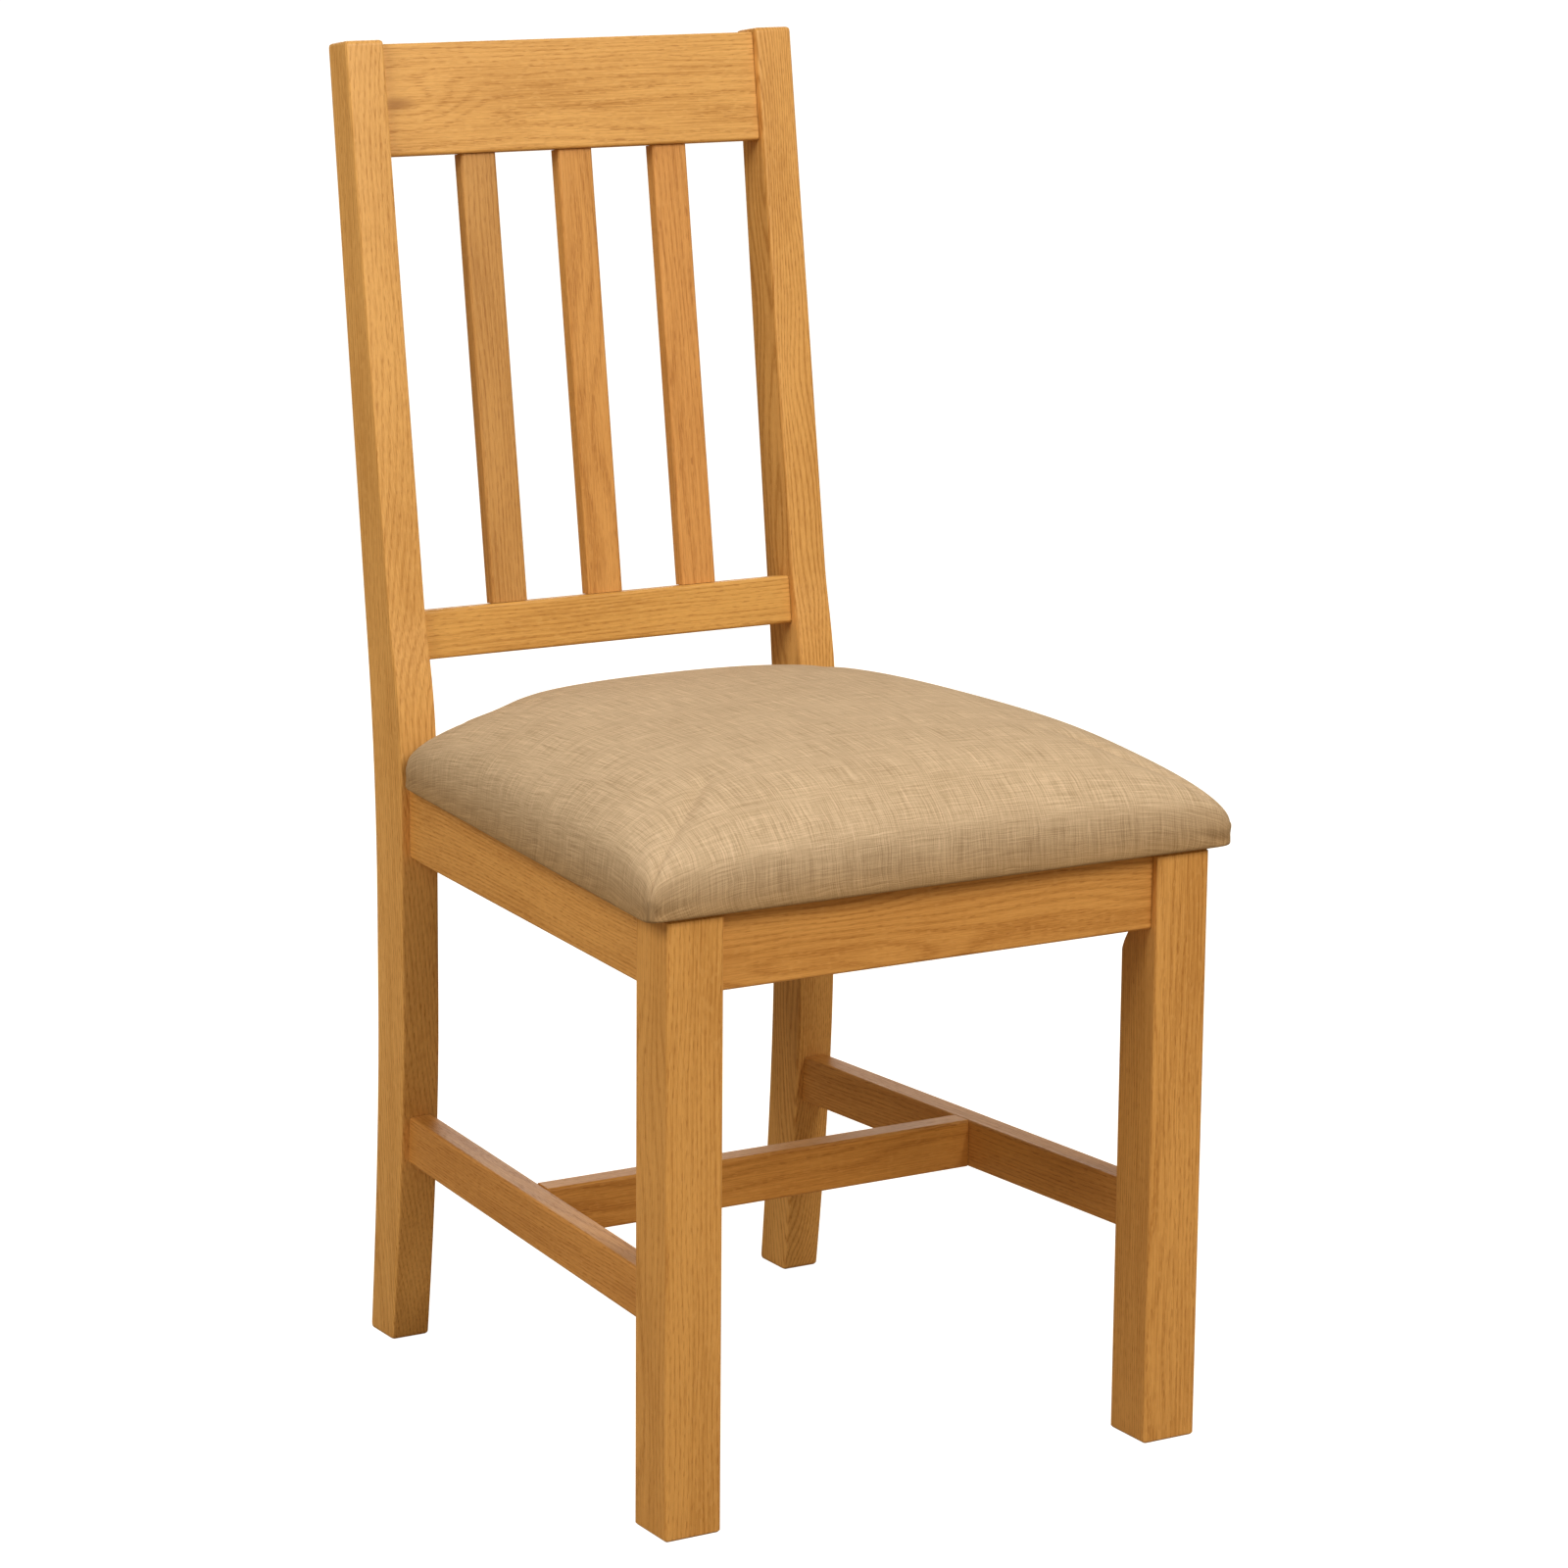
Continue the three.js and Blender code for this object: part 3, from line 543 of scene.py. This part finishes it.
class CHAIR_OT_stretchers(bpy.types.Operator):
    """Satin oak for the H of stretchers"""

    bl_idname = "chair.stretchers"
    bl_label = "Stretchers"

    def execute(self, context):
        settings = context.scene.chair_oak
        for node, tint, pith, seed in (
            ("side_stretcher_left", (0.88, 0.81, 0.74), (40, 15), 14),
            ("side_stretcher_right", (0.89, 0.82, 0.75), (-35, 28), 15),
            ("cross_stretcher", (0.98, 0.9, 0.75), (12, 60), 16),
        ):
            direction = along_side(node) if node.startswith("side") else ACROSS
            dress(node, oak(settings, node, direction, tint, pith, seed))
        return {"FINISHED"}


# ---------------------------------------------------------------- what holds the frame together
def sawn_timber(name, tone, rough):
    """Plain sawn wood: soft bands with the grain along X, and furry saw marks across it."""
    recipe = Recipe(name)
    place = recipe.millimetres(recipe.object_place())
    bands = recipe.noise(recipe.scaled(place, (0.02, 0.35, 0.35)), 3.0, 0.6)
    marks = recipe.noise(recipe.scaled(place, (0.9, 0.05, 0.3)), 2.0)
    colour = recipe.blend(bands, tinted(tone, (1.1, 1.1, 1.12)), tinted(tone, (0.74, 0.68, 0.58)))
    return recipe.finish({
        "Base Color": recipe.blend(marks * 0.25, colour, tinted(tone, (0.85, 0.8, 0.75))),
        "Roughness": bands * 0.15 + rough,
        "Normal": recipe.bump(marks + bands * 0.5, 0.25 * MM, 0.6),
    })


class CHAIR_OT_joinery(bpy.types.Operator):
    """Sawn pine for the corner blocks and beech for the dowels"""

    bl_idname = "chair.joinery"
    bl_label = "Corner blocks and dowels"

    def execute(self, context):
        block = sawn_timber("corner_block_pine", (0.62, 0.44, 0.24), 0.68)
        dowel = sawn_timber("dowel_beech", (0.66, 0.46, 0.27), 0.6)
        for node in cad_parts:
            if node.startswith("corner_block"):
                dress(node, block)
            if node.startswith("rail_dowel"):
                dress(node, dowel)
        return {"FINISHED"}


class CHAIR_OT_screws(bpy.types.Operator):
    """Zinc-plated steel for the screws"""

    bl_idname = "chair.screws"
    bl_label = "Screws"

    def execute(self, context):
        recipe = Recipe("zinc_plated_steel")
        place = recipe.scaled(recipe.object_place(), (900, 900, 900))
        crystals = recipe.noise(place, 3.0, 0.6)
        stain = recipe.noise(recipe.scaled(place, (0.15, 0.15, 0.15)), 2.0)
        zinc = recipe.finish({
            "Base Color": recipe.blend(stain, (0.62, 0.62, 0.60, 1), (0.50, 0.49, 0.44, 1)),
            "Metallic": 1.0,
            "Roughness": crystals * 0.25 + 0.22,
            "Normal": recipe.bump(crystals, 0.03 * MM, 0.5),
        })
        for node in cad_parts:
            if "screw" in node:
                dress(node, zinc)
        return {"FINISHED"}


class CHAIR_OT_seat_board(bpy.types.Operator):
    """Birch plywood for the board under the pad, with its glue lines on the edges"""

    bl_idname = "chair.seat_board"
    bl_label = "Seat board"

    def execute(self, context):
        recipe = Recipe("birch_plywood")
        place = recipe.millimetres(recipe.object_place())
        _, _, z = recipe.parts(place)
        ply = 1.5  # millimetres
        line = recipe.step((z * (math.pi / ply)).math("SINE").math("ABSOLUTE"), 0.0, 0.35)
        grain = recipe.noise(recipe.scaled(place, (0.5, 0.02, 0.3)), 3.0, 0.6)
        face = recipe.blend(grain, (0.62, 0.44, 0.26, 1), (0.74, 0.57, 0.37, 1))
        board = recipe.finish({
            "Base Color": recipe.blend(line, (0.28, 0.17, 0.09, 1), face),
            "Roughness": grain * 0.2 + 0.6,
            "Normal": recipe.bump(grain, 0.15 * MM, 0.5),
        })
        dress("seat_board", board)
        return {"FINISHED"}


# ---------------------------------------------------------------- the seat pad
def pad_front_half():
    """Half the pad's width at its front edge: well past the outer face of a leg."""
    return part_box("front_leg_right")[1].x + SIDE_OVERHANG


def pad_back_half():
    """Half the pad's width at its back edge: just past the outer face of a post."""
    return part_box("back_post_right")[1].x + POST_OVERHANG


def pad_plan(u, v, inset):
    """
    Plan of the pad for u and v in -1..1. The unit square's corners are rounded: both are multiplied by
    max(|u|, |v|) / (|u|^60 + |v|^60)^(1/60). Then y runs front to back, and x is u times the half width
    at that y. Between the posts the back edge is carried on over the back rail: y grows with the square
    of the way from 0.7 of v to the edge, times a smoothstep of the distance from the posts.
    """
    power = 60.0
    largest = np.maximum(np.abs(u), np.abs(v))
    norm = (np.abs(u) ** power + np.abs(v) ** power) ** (1 / power)
    rounding = np.where(norm > 0, largest / np.maximum(norm, 1e-9), 1.0)
    share = (v * rounding + 1) / 2
    y = PAD_LOW.y + inset + share * (PAD_HIGH.y - PAD_LOW.y - 2 * inset)
    widening = (y - PAD_LOW.y) / (PAD_HIGH.y - PAD_LOW.y)
    half = pad_front_half() + (pad_back_half() - pad_front_half()) * widening - inset
    x = u * rounding * half
    post_gap, slope, over_rail, start = 4 * MM, 12 * MM, 14 * MM, 0.7
    clear_of_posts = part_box("back_seat_rail")[1].x - post_gap
    between = np.clip((clear_of_posts - np.abs(x)) / slope, 0, 1)
    run_out = np.clip((v - start) / (1 - start), 0, 1) ** 2
    return x, y + over_rail * between * between * (3 - 2 * between) * run_out


def pad_height(u, v, edge, crown):
    """Height over the pad's base: edge + (crown - edge) times ((1 - |u|^2.45)(1 - |v|^2.7))^0.32."""
    across, along, fullness = 2.45, 2.7, 0.32
    dome = (1 - np.abs(u) ** across) * (1 - np.abs(v) ** along)
    return edge + (crown - edge) * np.clip(dome, 0, 1) ** fullness


def pad_mesh(settings, lowered):
    """
    The closed pad as rows of points and faces. A square grid makes the crown; its lines lie at the sine
    of evenly spaced angles, closer near the rim. Rings carried round the rim make the nose: for a turn t
    of 0 to 90 degrees the plan is drawn in by tuck times (1 - cos t)^1.3, and the height falls as
    1 - sin t. A second grid closes the underside, lifted a little inside its rim.
    """
    cells = settings.cells
    bunching = 0.86  # how much closer the grid's lines lie near the rim
    knots = np.sin(np.pi / 2 * bunching * np.linspace(-1, 1, cells + 1)) / math.sin(np.pi / 2 * bunching)
    u, v = np.meshgrid(knots, knots)
    base = PAD_LOW.z
    x, y = pad_plan(u, v, 0)
    crown = PAD_HIGH.z - base - lowered
    top = np.stack([x, y, base + pad_height(u, v, settings.edge, crown)], -1).reshape(-1, 3)

    rim = rim_of(cells)
    foot = 0.4 * MM
    rings = []
    for k in range(1, NOSE_RINGS + 1):
        turn = np.pi / 2 * k / NOSE_RINGS
        rx, ry = pad_plan(u.ravel()[rim], v.ravel()[rim], settings.tuck * (1 - math.cos(turn)) ** 1.3)
        rz = np.full_like(rx, base + foot + (settings.edge - foot) * (1 - math.sin(turn)))
        rings.append(np.stack([rx, ry, rz], -1))
    x, y = pad_plan(u, v, settings.tuck)
    hollow, slope = 0.7 * MM, 8
    lift = hollow * np.clip((1 - np.maximum(np.abs(u), np.abs(v))) * slope, 0, 1)
    under = np.stack([x, y, base + foot + lift], -1).reshape(-1, 3)
    inside = np.setdiff1d(np.arange(len(under)), rim)
    points = np.concatenate([top, *rings, under[inside]])

    grid = np.arange((cells + 1) ** 2)
    outer = rim
    quads = [grid_quads(grid, cells)]
    for k in range(NOSE_RINGS):
        inner = len(top) + k * len(rim) + np.arange(len(rim))
        quads.append(np.stack([outer, inner, np.roll(inner, -1), np.roll(outer, -1)], -1))
        outer = inner
    grid[rim] = outer
    grid[inside] = len(top) + NOSE_RINGS * len(rim) + np.arange(len(inside))
    quads.append(grid_quads(grid, cells)[:, ::-1])
    return points, np.concatenate(quads).tolist(), rim


def grid_quads(indices, cells):
    """The four corners of each cell of a square grid of point numbers, anticlockwise from above."""
    grid = indices.reshape(cells + 1, cells + 1)
    return np.stack([grid[:-1, :-1], grid[:-1, 1:], grid[1:, 1:], grid[1:, :-1]], -1).reshape(-1, 4)


def rim_of(cells):
    """Indices of the grid's outline, anticlockwise from the front left, seen from above."""
    side = cells + 1
    front = np.arange(cells)
    right = np.arange(cells) * side + cells
    back = cells * side + cells - np.arange(cells)
    left = (cells - np.arange(cells)) * side
    return np.concatenate([front, right, back, left])


def thread_places(points, cells, rim):
    """
    How far along the cloth each point lies, in metres across and back: on the crown the length of the
    surface from its middle row and column, on the nose that length carried on down, and on the
    underside simply its x and y.
    """
    side = cells + 1
    crown = points[:side * side].reshape(side, side, 3)
    across = running_length(crown, 1)
    along = running_length(crown, 0)
    place = np.stack([across, along], -1).reshape(-1, 2)
    nose = points[side * side:side * side + NOSE_RINGS * len(rim)].reshape(-1, len(rim), 3)
    outward = np.zeros((len(rim), 2))
    outward[:cells] = (0, -1)
    outward[cells:2 * cells] = (1, 0)
    outward[2 * cells:3 * cells] = (0, 1)
    outward[3 * cells:] = (-1, 0)
    rows = [place]
    last_points, last_place = points[rim], place[rim]
    for ring in nose:
        step = np.linalg.norm(ring - last_points, axis=1)[:, None]
        last_place = last_place + outward * step
        last_points = ring
        rows.append(last_place)
    under = points[side * side + nose.shape[0] * len(rim):, :2]
    return np.concatenate([*rows, under])


def running_length(crown, axis):
    """Length of the surface from the middle of a grid, along one of its axes."""
    steps = np.linalg.norm(np.diff(crown, axis=axis), axis=2)
    zero = np.zeros_like(np.take(steps, [0], axis))
    length = np.concatenate([zero, np.cumsum(steps, axis)], axis)
    middle = crown.shape[axis] // 2
    return length - np.take(length, [middle], axis)


def object_from(name, points, faces):
    """A new object whose mesh has these points and faces."""
    mesh = bpy.data.meshes.new(name)
    mesh.from_pydata(points.tolist(), [], faces)
    mesh.validate()
    made = bpy.data.objects.new(name, mesh)
    bpy.context.scene.collection.objects.link(made)
    return made


def puff(piece, settings, held):
    """
    Puffs the cloth up with a short simulation. No point moves further than the swell, and held ones
    don't move.
    """
    group = piece.vertex_groups.new(name="held")
    group.add(held.tolist(), 1.0, "REPLACE")
    cloth = piece.modifiers.new("Puff", "CLOTH")
    cloth.settings.quality = 5
    cloth.settings.mass = 0.3
    cloth.settings.tension_stiffness = 12
    cloth.settings.compression_stiffness = 12
    cloth.settings.shear_stiffness = 4
    cloth.settings.bending_stiffness = 0.8
    cloth.settings.use_pressure = True
    cloth.settings.uniform_pressure_force = settings.pressure
    cloth.settings.vertex_group_mass = "held"
    cloth.settings.effector_weights.gravity = 0
    last_frame = 20
    for number in range(1, last_frame + 1):
        bpy.context.scene.frame_set(number)
    start = coordinates(piece.data)
    puffed = piece.evaluated_get(bpy.context.evaluated_depsgraph_get())
    moved = coordinates(puffed.data) - start
    far = np.linalg.norm(moved, axis=1, keepdims=True)
    piece.modifiers.remove(cloth)
    piece.vertex_groups.remove(group)
    bpy.context.scene.frame_set(1)
    return start + moved * np.minimum(1.0, settings.swell / np.maximum(far, 1e-9))


def coordinates(mesh):
    points = np.empty(len(mesh.vertices) * 3)
    mesh.vertices.foreach_get("co", points)
    return points.reshape(-1, 3)


def gathers(points):
    """
    Small pleats at the two front corners and the two back ones. Round the foot of each corner the cloth
    is moved out or in by depth times sin(27 a + 1.3 sin 7a), for the angle a and out of step on the two
    sides, times exp(-(far / reach)^2). The pleats smooth out at the foot itself and down at the tuck.
    """
    outward = points - np.array([0, (PAD_LOW.y + PAD_HIGH.y) / 2, PAD_LOW.z])
    outward /= np.linalg.norm(outward, axis=1, keepdims=True)
    shift = np.zeros(len(points))
    front, back = pad_front_half(), pad_back_half()
    pleats, sway, smooth_foot = 27, 1.3, 9 * MM
    flat_below, rise = 1 * MM, 5 * MM
    for x, y, reach, depth in (
        (-front, PAD_LOW.y, 46 * MM, 0.75 * MM),
        (front, PAD_LOW.y, 46 * MM, 0.75 * MM),
        (-back, PAD_HIGH.y, 30 * MM, 0.45 * MM),
        (back, PAD_HIGH.y, 30 * MM, 0.45 * MM),
    ):
        foot = points - np.array([x, y, PAD_LOW.z])
        far = np.linalg.norm(foot, axis=1)
        angle = np.arctan2(np.abs(foot[:, 0]), np.abs(foot[:, 1]) + 1e-6)
        fold = np.sin(angle * pleats + sway * np.sin(angle * 7) + np.sign(x))
        shift += depth * fold * np.exp(-((far / reach) ** 2)) * np.clip(far / smooth_foot, 0, 1)
    shift *= np.clip((points[:, 2] - PAD_LOW.z - flat_below) / rise, 0, 1)
    return points + outward * shift[:, None]


def linen(settings):
    """
    Plain-woven linen. Each thread has its own tone and swells into slubs; the tone runs in long
    streaks with the thread, both ways, over a fine over-and-under weave. Near the rails it has painted
    shade.
    """
    recipe = Recipe("slub_linen")
    place = recipe.millimetres(recipe.add("ShaderNodeUVMap", {"uv_map": "threads"}))
    pitch = settings.thread / MM
    wave = recipe.noise(recipe.scaled(place, (0.05, 0.05, 0)), 1.0) * 3.0
    bent = recipe.moved(place, recipe.add("ShaderNodeCombineXYZ", None, {0: wave, 1: wave}))

    def streaks(cells, start=None, roughness=0.5):
        """Noise with this many cells in a millimetre across and along the cloth, begun at start."""
        scaled = recipe.scaled(bent, (*cells, 0))
        return recipe.noise(recipe.moved(scaled, start) if start else scaled, 1.0, roughness)

    warp = streaks((1.35, 0.025), None, 0.7)
    weft = streaks((0.025, 1.35), (40, 9, 0), 0.7)
    slub_warp = recipe.step(streaks((0.85, 0.045)), 0.6, 0.74)
    slub_weft = recipe.step(streaks((0.045, 0.85), (7, 80, 0)), 0.6, 0.74)
    gap = recipe.step(streaks((0.9, 0.11), (3, 30, 0)), 0.62, 0.76)
    cloud = recipe.noise(recipe.scaled(place, (0.012, 0.012, 0)), 2.0)
    across, along, _ = recipe.parts(bent)
    over = (across * (2 * math.pi / pitch)).math("SINE")
    under = (along * (2 * math.pi / pitch)).math("SINE")
    weave = over * under

    base = settings.linen
    tone = (warp - 0.5) * 1.9 + (weft - 0.5) * 1.6 + (cloud - 0.5) * 0.4 + weave * 0.1 + 0.5
    colour = recipe.blend(tone.math("ADD", 0.0, clamp=True), tinted(base, (0.72, 0.68, 0.62)),
                          tinted(base, (1.22, 1.24, 1.27)))
    slubs = (slub_warp + slub_weft).math("MINIMUM", 1.0)
    colour = recipe.blend(slubs * 0.42, colour, tinted(base, (1.38, 1.42, 1.52)))
    colour = recipe.blend(gap * 0.3, colour, tinted(base, (0.55, 0.48, 0.4)))
    # Painted shade: the cloth's colour is multiplied darker towards the rails. It is darkest from 8 mm
    # below the pad's base and not darkened at all from the painted shade height up.
    _, _, height_up = recipe.parts(recipe.object_place())
    painted_shade_darkest_height = PAD_LOW.z - 8 * MM
    painted_shade_near_rails = 1.0 - recipe.step(height_up, painted_shade_darkest_height, PAD_LOW.z + settings.painted_shade_height)
    colour = recipe.blend(painted_shade_near_rails, colour, (0.58, 0.465, 0.3, 1), "MULTIPLY")
    height = weave * 0.35 + warp * 0.9 + weft * 0.9
    return recipe.finish({
        "Base Color": colour,
        "Roughness": warp * 0.1 + 0.84,
        "Sheen Weight": 0.03,
        "Sheen Roughness": 0.45,
        "Specular IOR Level": 0.25,
        "Normal": recipe.bump(height, 0.45 * MM, 0.75),
    })


class CHAIR_OT_seat_pad(bpy.types.Operator):
    """The seat pad: foam puffed up under stretched linen, gathered at the corners"""

    bl_idname = "chair.seat_pad"
    bl_label = "Seat pad"

    def execute(self, context):
        settings = context.scene.chair_pad
        lowered = 2.5 * MM  # room for the crown to rise as it is puffed up
        points, faces, rim = pad_mesh(settings, lowered)
        pad = object_from("seat_pad", points, faces)
        held_below = PAD_LOW.z + 3 * MM
        held = np.nonzero(points[:, 2] < held_below)[0]
        points = puff(pad, settings, held)
        points = gathers(points)
        pad.data.vertices.foreach_set("co", points.ravel())
        places = thread_places(points, settings.cells, rim)
        corners = np.empty(len(pad.data.loops), np.int32)
        pad.data.loops.foreach_get("vertex_index", corners)
        threads = pad.data.uv_layers.new(name="threads")
        threads.data.foreach_set("uv", places[corners].ravel())
        pad.data.polygons.foreach_set("use_smooth", np.ones(len(pad.data.polygons), bool))
        pad.data.update()
        pad.data.materials.append(linen(settings))
        smooth = pad.modifiers.new("Smooth", "SUBSURF")
        smooth.levels = 1
        smooth.render_levels = 1
        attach(pad, "root")
        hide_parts("seat_cover", "seat_foam")
        return {"FINISHED"}


def cover_mesh(low, high, front_half, rear_half):
    """
    The dust cover as points and faces: a closed sheet. Half its width runs evenly from the front's to
    the rear's, and its corners are drawn in as the 12th power of the distance from the middle. It
    ripples as sin 90x times cos 70y, a tenth of a millimetre or so.
    """
    cells, thickness, clearance, ripple = 48, 0.4 * MM, 0.15 * MM, 0.12 * MM
    s, t = np.meshgrid(np.linspace(-1, 1, cells + 1), np.linspace(0, 1, cells + 1))
    corner = 0.985 - 0.015 * (np.abs(s) ** 12) * (np.abs(2 * t - 1) ** 12)
    half = front_half + (rear_half - front_half) * t
    x = s * half * corner
    y = low.y + (0.5 + (t - 0.5) * corner) * (high.y - low.y)
    wavy = ripple * np.sin(x * 90) * np.cos(y * 70)
    under = np.stack([x, y, np.full_like(x, low.z + clearance) + wavy], -1).reshape(-1, 3)
    over = under + np.array([0, 0, thickness])
    count = (cells + 1) ** 2
    top = grid_quads(np.arange(count), cells)
    rim = rim_of(cells)
    wall = np.stack([rim, np.roll(rim, -1), np.roll(rim, -1) + count, rim + count], -1)
    faces = (top + count).tolist() + top[:, ::-1].tolist() + wall.tolist()
    return np.concatenate([under, over]), faces


class CHAIR_OT_dust_cover(bpy.types.Operator):
    """The black dust cover stretched under the pad"""

    bl_idname = "chair.dust_cover"
    bl_label = "Dust cover"

    def execute(self, context):
        low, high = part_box("seat_dust_cover")
        front_half, rear_half = pad_front_half() - COVER_INSET, pad_back_half() - COVER_INSET
        cover = object_from("dust_cover", *cover_mesh(low, high, front_half, rear_half))
        recipe = Recipe("spunbonded_black")
        place = recipe.millimetres(recipe.object_place())
        fibres = recipe.noise(recipe.scaled(place, (1.6, 1.6, 0.2)), 4.0, 0.7)
        dots = recipe.add("ShaderNodeTexVoronoi", None, {"Vector": place, "Scale": 0.55}, "Distance")
        points = 1.0 - recipe.step(dots, 0.1, 0.35)
        cover.data.materials.append(recipe.finish({
            "Base Color": recipe.blend(fibres, (0.012, 0.012, 0.013, 1), (0.05, 0.05, 0.054, 1)),
            "Roughness": fibres * 0.2 + 0.75 - points * 0.2,
            "Normal": recipe.bump(fibres - points * 0.6, 0.15 * MM, 0.7),
        }))
        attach(cover, "root")
        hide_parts("seat_dust_cover")
        return {"FINISHED"}


# ---------------------------------------------------------------- stage
def soft_light(name, place, target, size, power):
    """A square studio light at place, turned to target."""
    data = bpy.data.lights.new(name, "AREA")
    data.shape = "SQUARE"
    data.size = size
    data.energy = power
    light = bpy.data.objects.new(name, data)
    bpy.context.scene.collection.objects.link(light)
    light.location = place
    light.rotation_euler = (Vector(target) - Vector(place)).to_track_quat("-Z", "Y").to_euler()


def camera_turn(azimuth, elevation, roll):
    """The camera's own axes as columns: right, up and back, from its azimuth, elevation and roll."""
    back = Vector((
        math.sin(azimuth) * math.cos(elevation),
        -math.cos(azimuth) * math.cos(elevation),
        math.sin(elevation),
    ))
    level = (-back).cross(UPRIGHT).normalized()
    upright = level.cross(-back)
    right = level * math.cos(roll) + upright * math.sin(roll)
    up = upright * math.cos(roll) - level * math.sin(roll)
    return Matrix((right, up, back)).transposed()


class CHAIR_OT_stage(bpy.types.Operator):
    """A white floor and backdrop, two high soft lights, a weak one behind, and the camera"""

    bl_idname = "chair.stage"
    bl_label = "Stage"

    def execute(self, context):
        scene = context.scene
        settings = scene.chair_stage
        self.make_camera(scene, settings)
        self.make_floor()
        self.make_world(scene, settings)
        middle = (0, 0, 0.5)
        for name, place, size, power in (
            ("front_light", (0.5, -2.4, 2.5), 1.3, settings.front_light),
            ("side_light", (-2.7, -0.6, 2.3), 1.3, settings.side_light),
            ("back_light", (1.2, 2.6, 2.0), 1.6, settings.back_light),
        ):
            soft_light(name, place, middle, size, power)
        scene.view_settings.view_transform = "Standard"
        scene.view_settings.look = "None"
        return {"FINISHED"}

    def make_camera(self, scene, settings):
        data = bpy.data.cameras.new("camera")
        data.lens = settings.lens
        data.sensor_width = 36.0
        data.clip_start = 0.05
        data.clip_end = 100.0
        camera = bpy.data.objects.new("camera", data)
        scene.collection.objects.link(camera)
        camera.location = settings.place
        turn = camera_turn(settings.azimuth, settings.elevation, settings.roll)
        camera.rotation_euler = turn.to_euler()
        scene.camera = camera

    def make_floor(self):
        """Plain white to the camera, and a warm matt floor to everything else."""
        reach = 30.0
        points = np.array([(-reach, -reach, 0), (reach, -reach, 0), (reach, reach, 0), (-reach, reach, 0)])
        floor = object_from("floor", points, [(0, 1, 2, 3)])
        recipe = Recipe("white_floor")
        matt = recipe.add("ShaderNodeBsdfDiffuse", None, {"Color": (0.38, 0.31, 0.21, 1)})
        glow = recipe.add("ShaderNodeEmission", None, {"Color": (1, 1, 1, 1), "Strength": 1.0})
        seen = recipe.add("ShaderNodeLightPath", output="Is Camera Ray")
        plain = recipe.add("ShaderNodeAddShader", None, {0: matt, 1: glow})
        mixed = recipe.add("ShaderNodeMixShader", None, {0: seen, 1: matt, 2: plain})
        floor.data.materials.append(recipe.ended(mixed))

    def make_world(self, scene, settings):
        """Plain white to the camera, and a warm even light to everything else."""
        recipe = Recipe("studio", bpy.data.worlds)
        seen = recipe.add("ShaderNodeLightPath", output="Is Camera Ray")
        inputs = {"Value": seen, "To Min": settings.ambient, "To Max": 1.0}
        strength = recipe.add("ShaderNodeMapRange", None, inputs, "Result")
        colour = recipe.blend(seen, (1.0, 0.83, 0.56, 1), (1, 1, 1, 1))
        backdrop = recipe.add("ShaderNodeBackground", None, {"Color": colour, "Strength": strength})
        scene.world = recipe.ended(backdrop, "ShaderNodeOutputWorld")


# ---------------------------------------------------------------- the add-on
OPERATORS = (
    CHAIR_OT_stage,
    CHAIR_OT_front_legs,
    CHAIR_OT_back_posts,
    CHAIR_OT_back_rails,
    CHAIR_OT_slats,
    CHAIR_OT_seat_rails,
    CHAIR_OT_stretchers,
    CHAIR_OT_joinery,
    CHAIR_OT_screws,
    CHAIR_OT_seat_board,
    CHAIR_OT_seat_pad,
    CHAIR_OT_dust_cover,
)
SETTINGS = {"chair_oak": OakSettings, "chair_pad": PadSettings, "chair_stage": StageSettings}


class VIEW3D_PT_chair(bpy.types.Panel):
    """The chair's settings and the buttons that build it"""

    bl_label = "Dining chair"
    bl_space_type = "VIEW_3D"
    bl_region_type = "UI"
    bl_category = "Chair"

    def draw(self, context):
        for name, group in SETTINGS.items():
            box = self.layout.box()
            for key in group.__annotations__:
                box.prop(getattr(context.scene, name), key)
        for operator in OPERATORS:
            self.layout.operator(operator.bl_idname)


def register():
    for group in SETTINGS.values():
        bpy.utils.register_class(group)
    for name, group in SETTINGS.items():
        setattr(bpy.types.Scene, name, PointerProperty(type=group))
    for operator in OPERATORS:
        bpy.utils.register_class(operator)
    bpy.utils.register_class(VIEW3D_PT_chair)


def unregister():
    bpy.utils.unregister_class(VIEW3D_PT_chair)
    for operator in reversed(OPERATORS):
        bpy.utils.unregister_class(operator)
    for name in SETTINGS:
        delattr(bpy.types.Scene, name)
    for group in reversed(list(SETTINGS.values())):
        bpy.utils.unregister_class(group)


def main():
    """Builds the chair."""
    register()
    for operator in OPERATORS:
        family, action = operator.bl_idname.split(".")
        getattr(getattr(bpy.ops, family), action)()


if __name__ == "__main__":
    main()
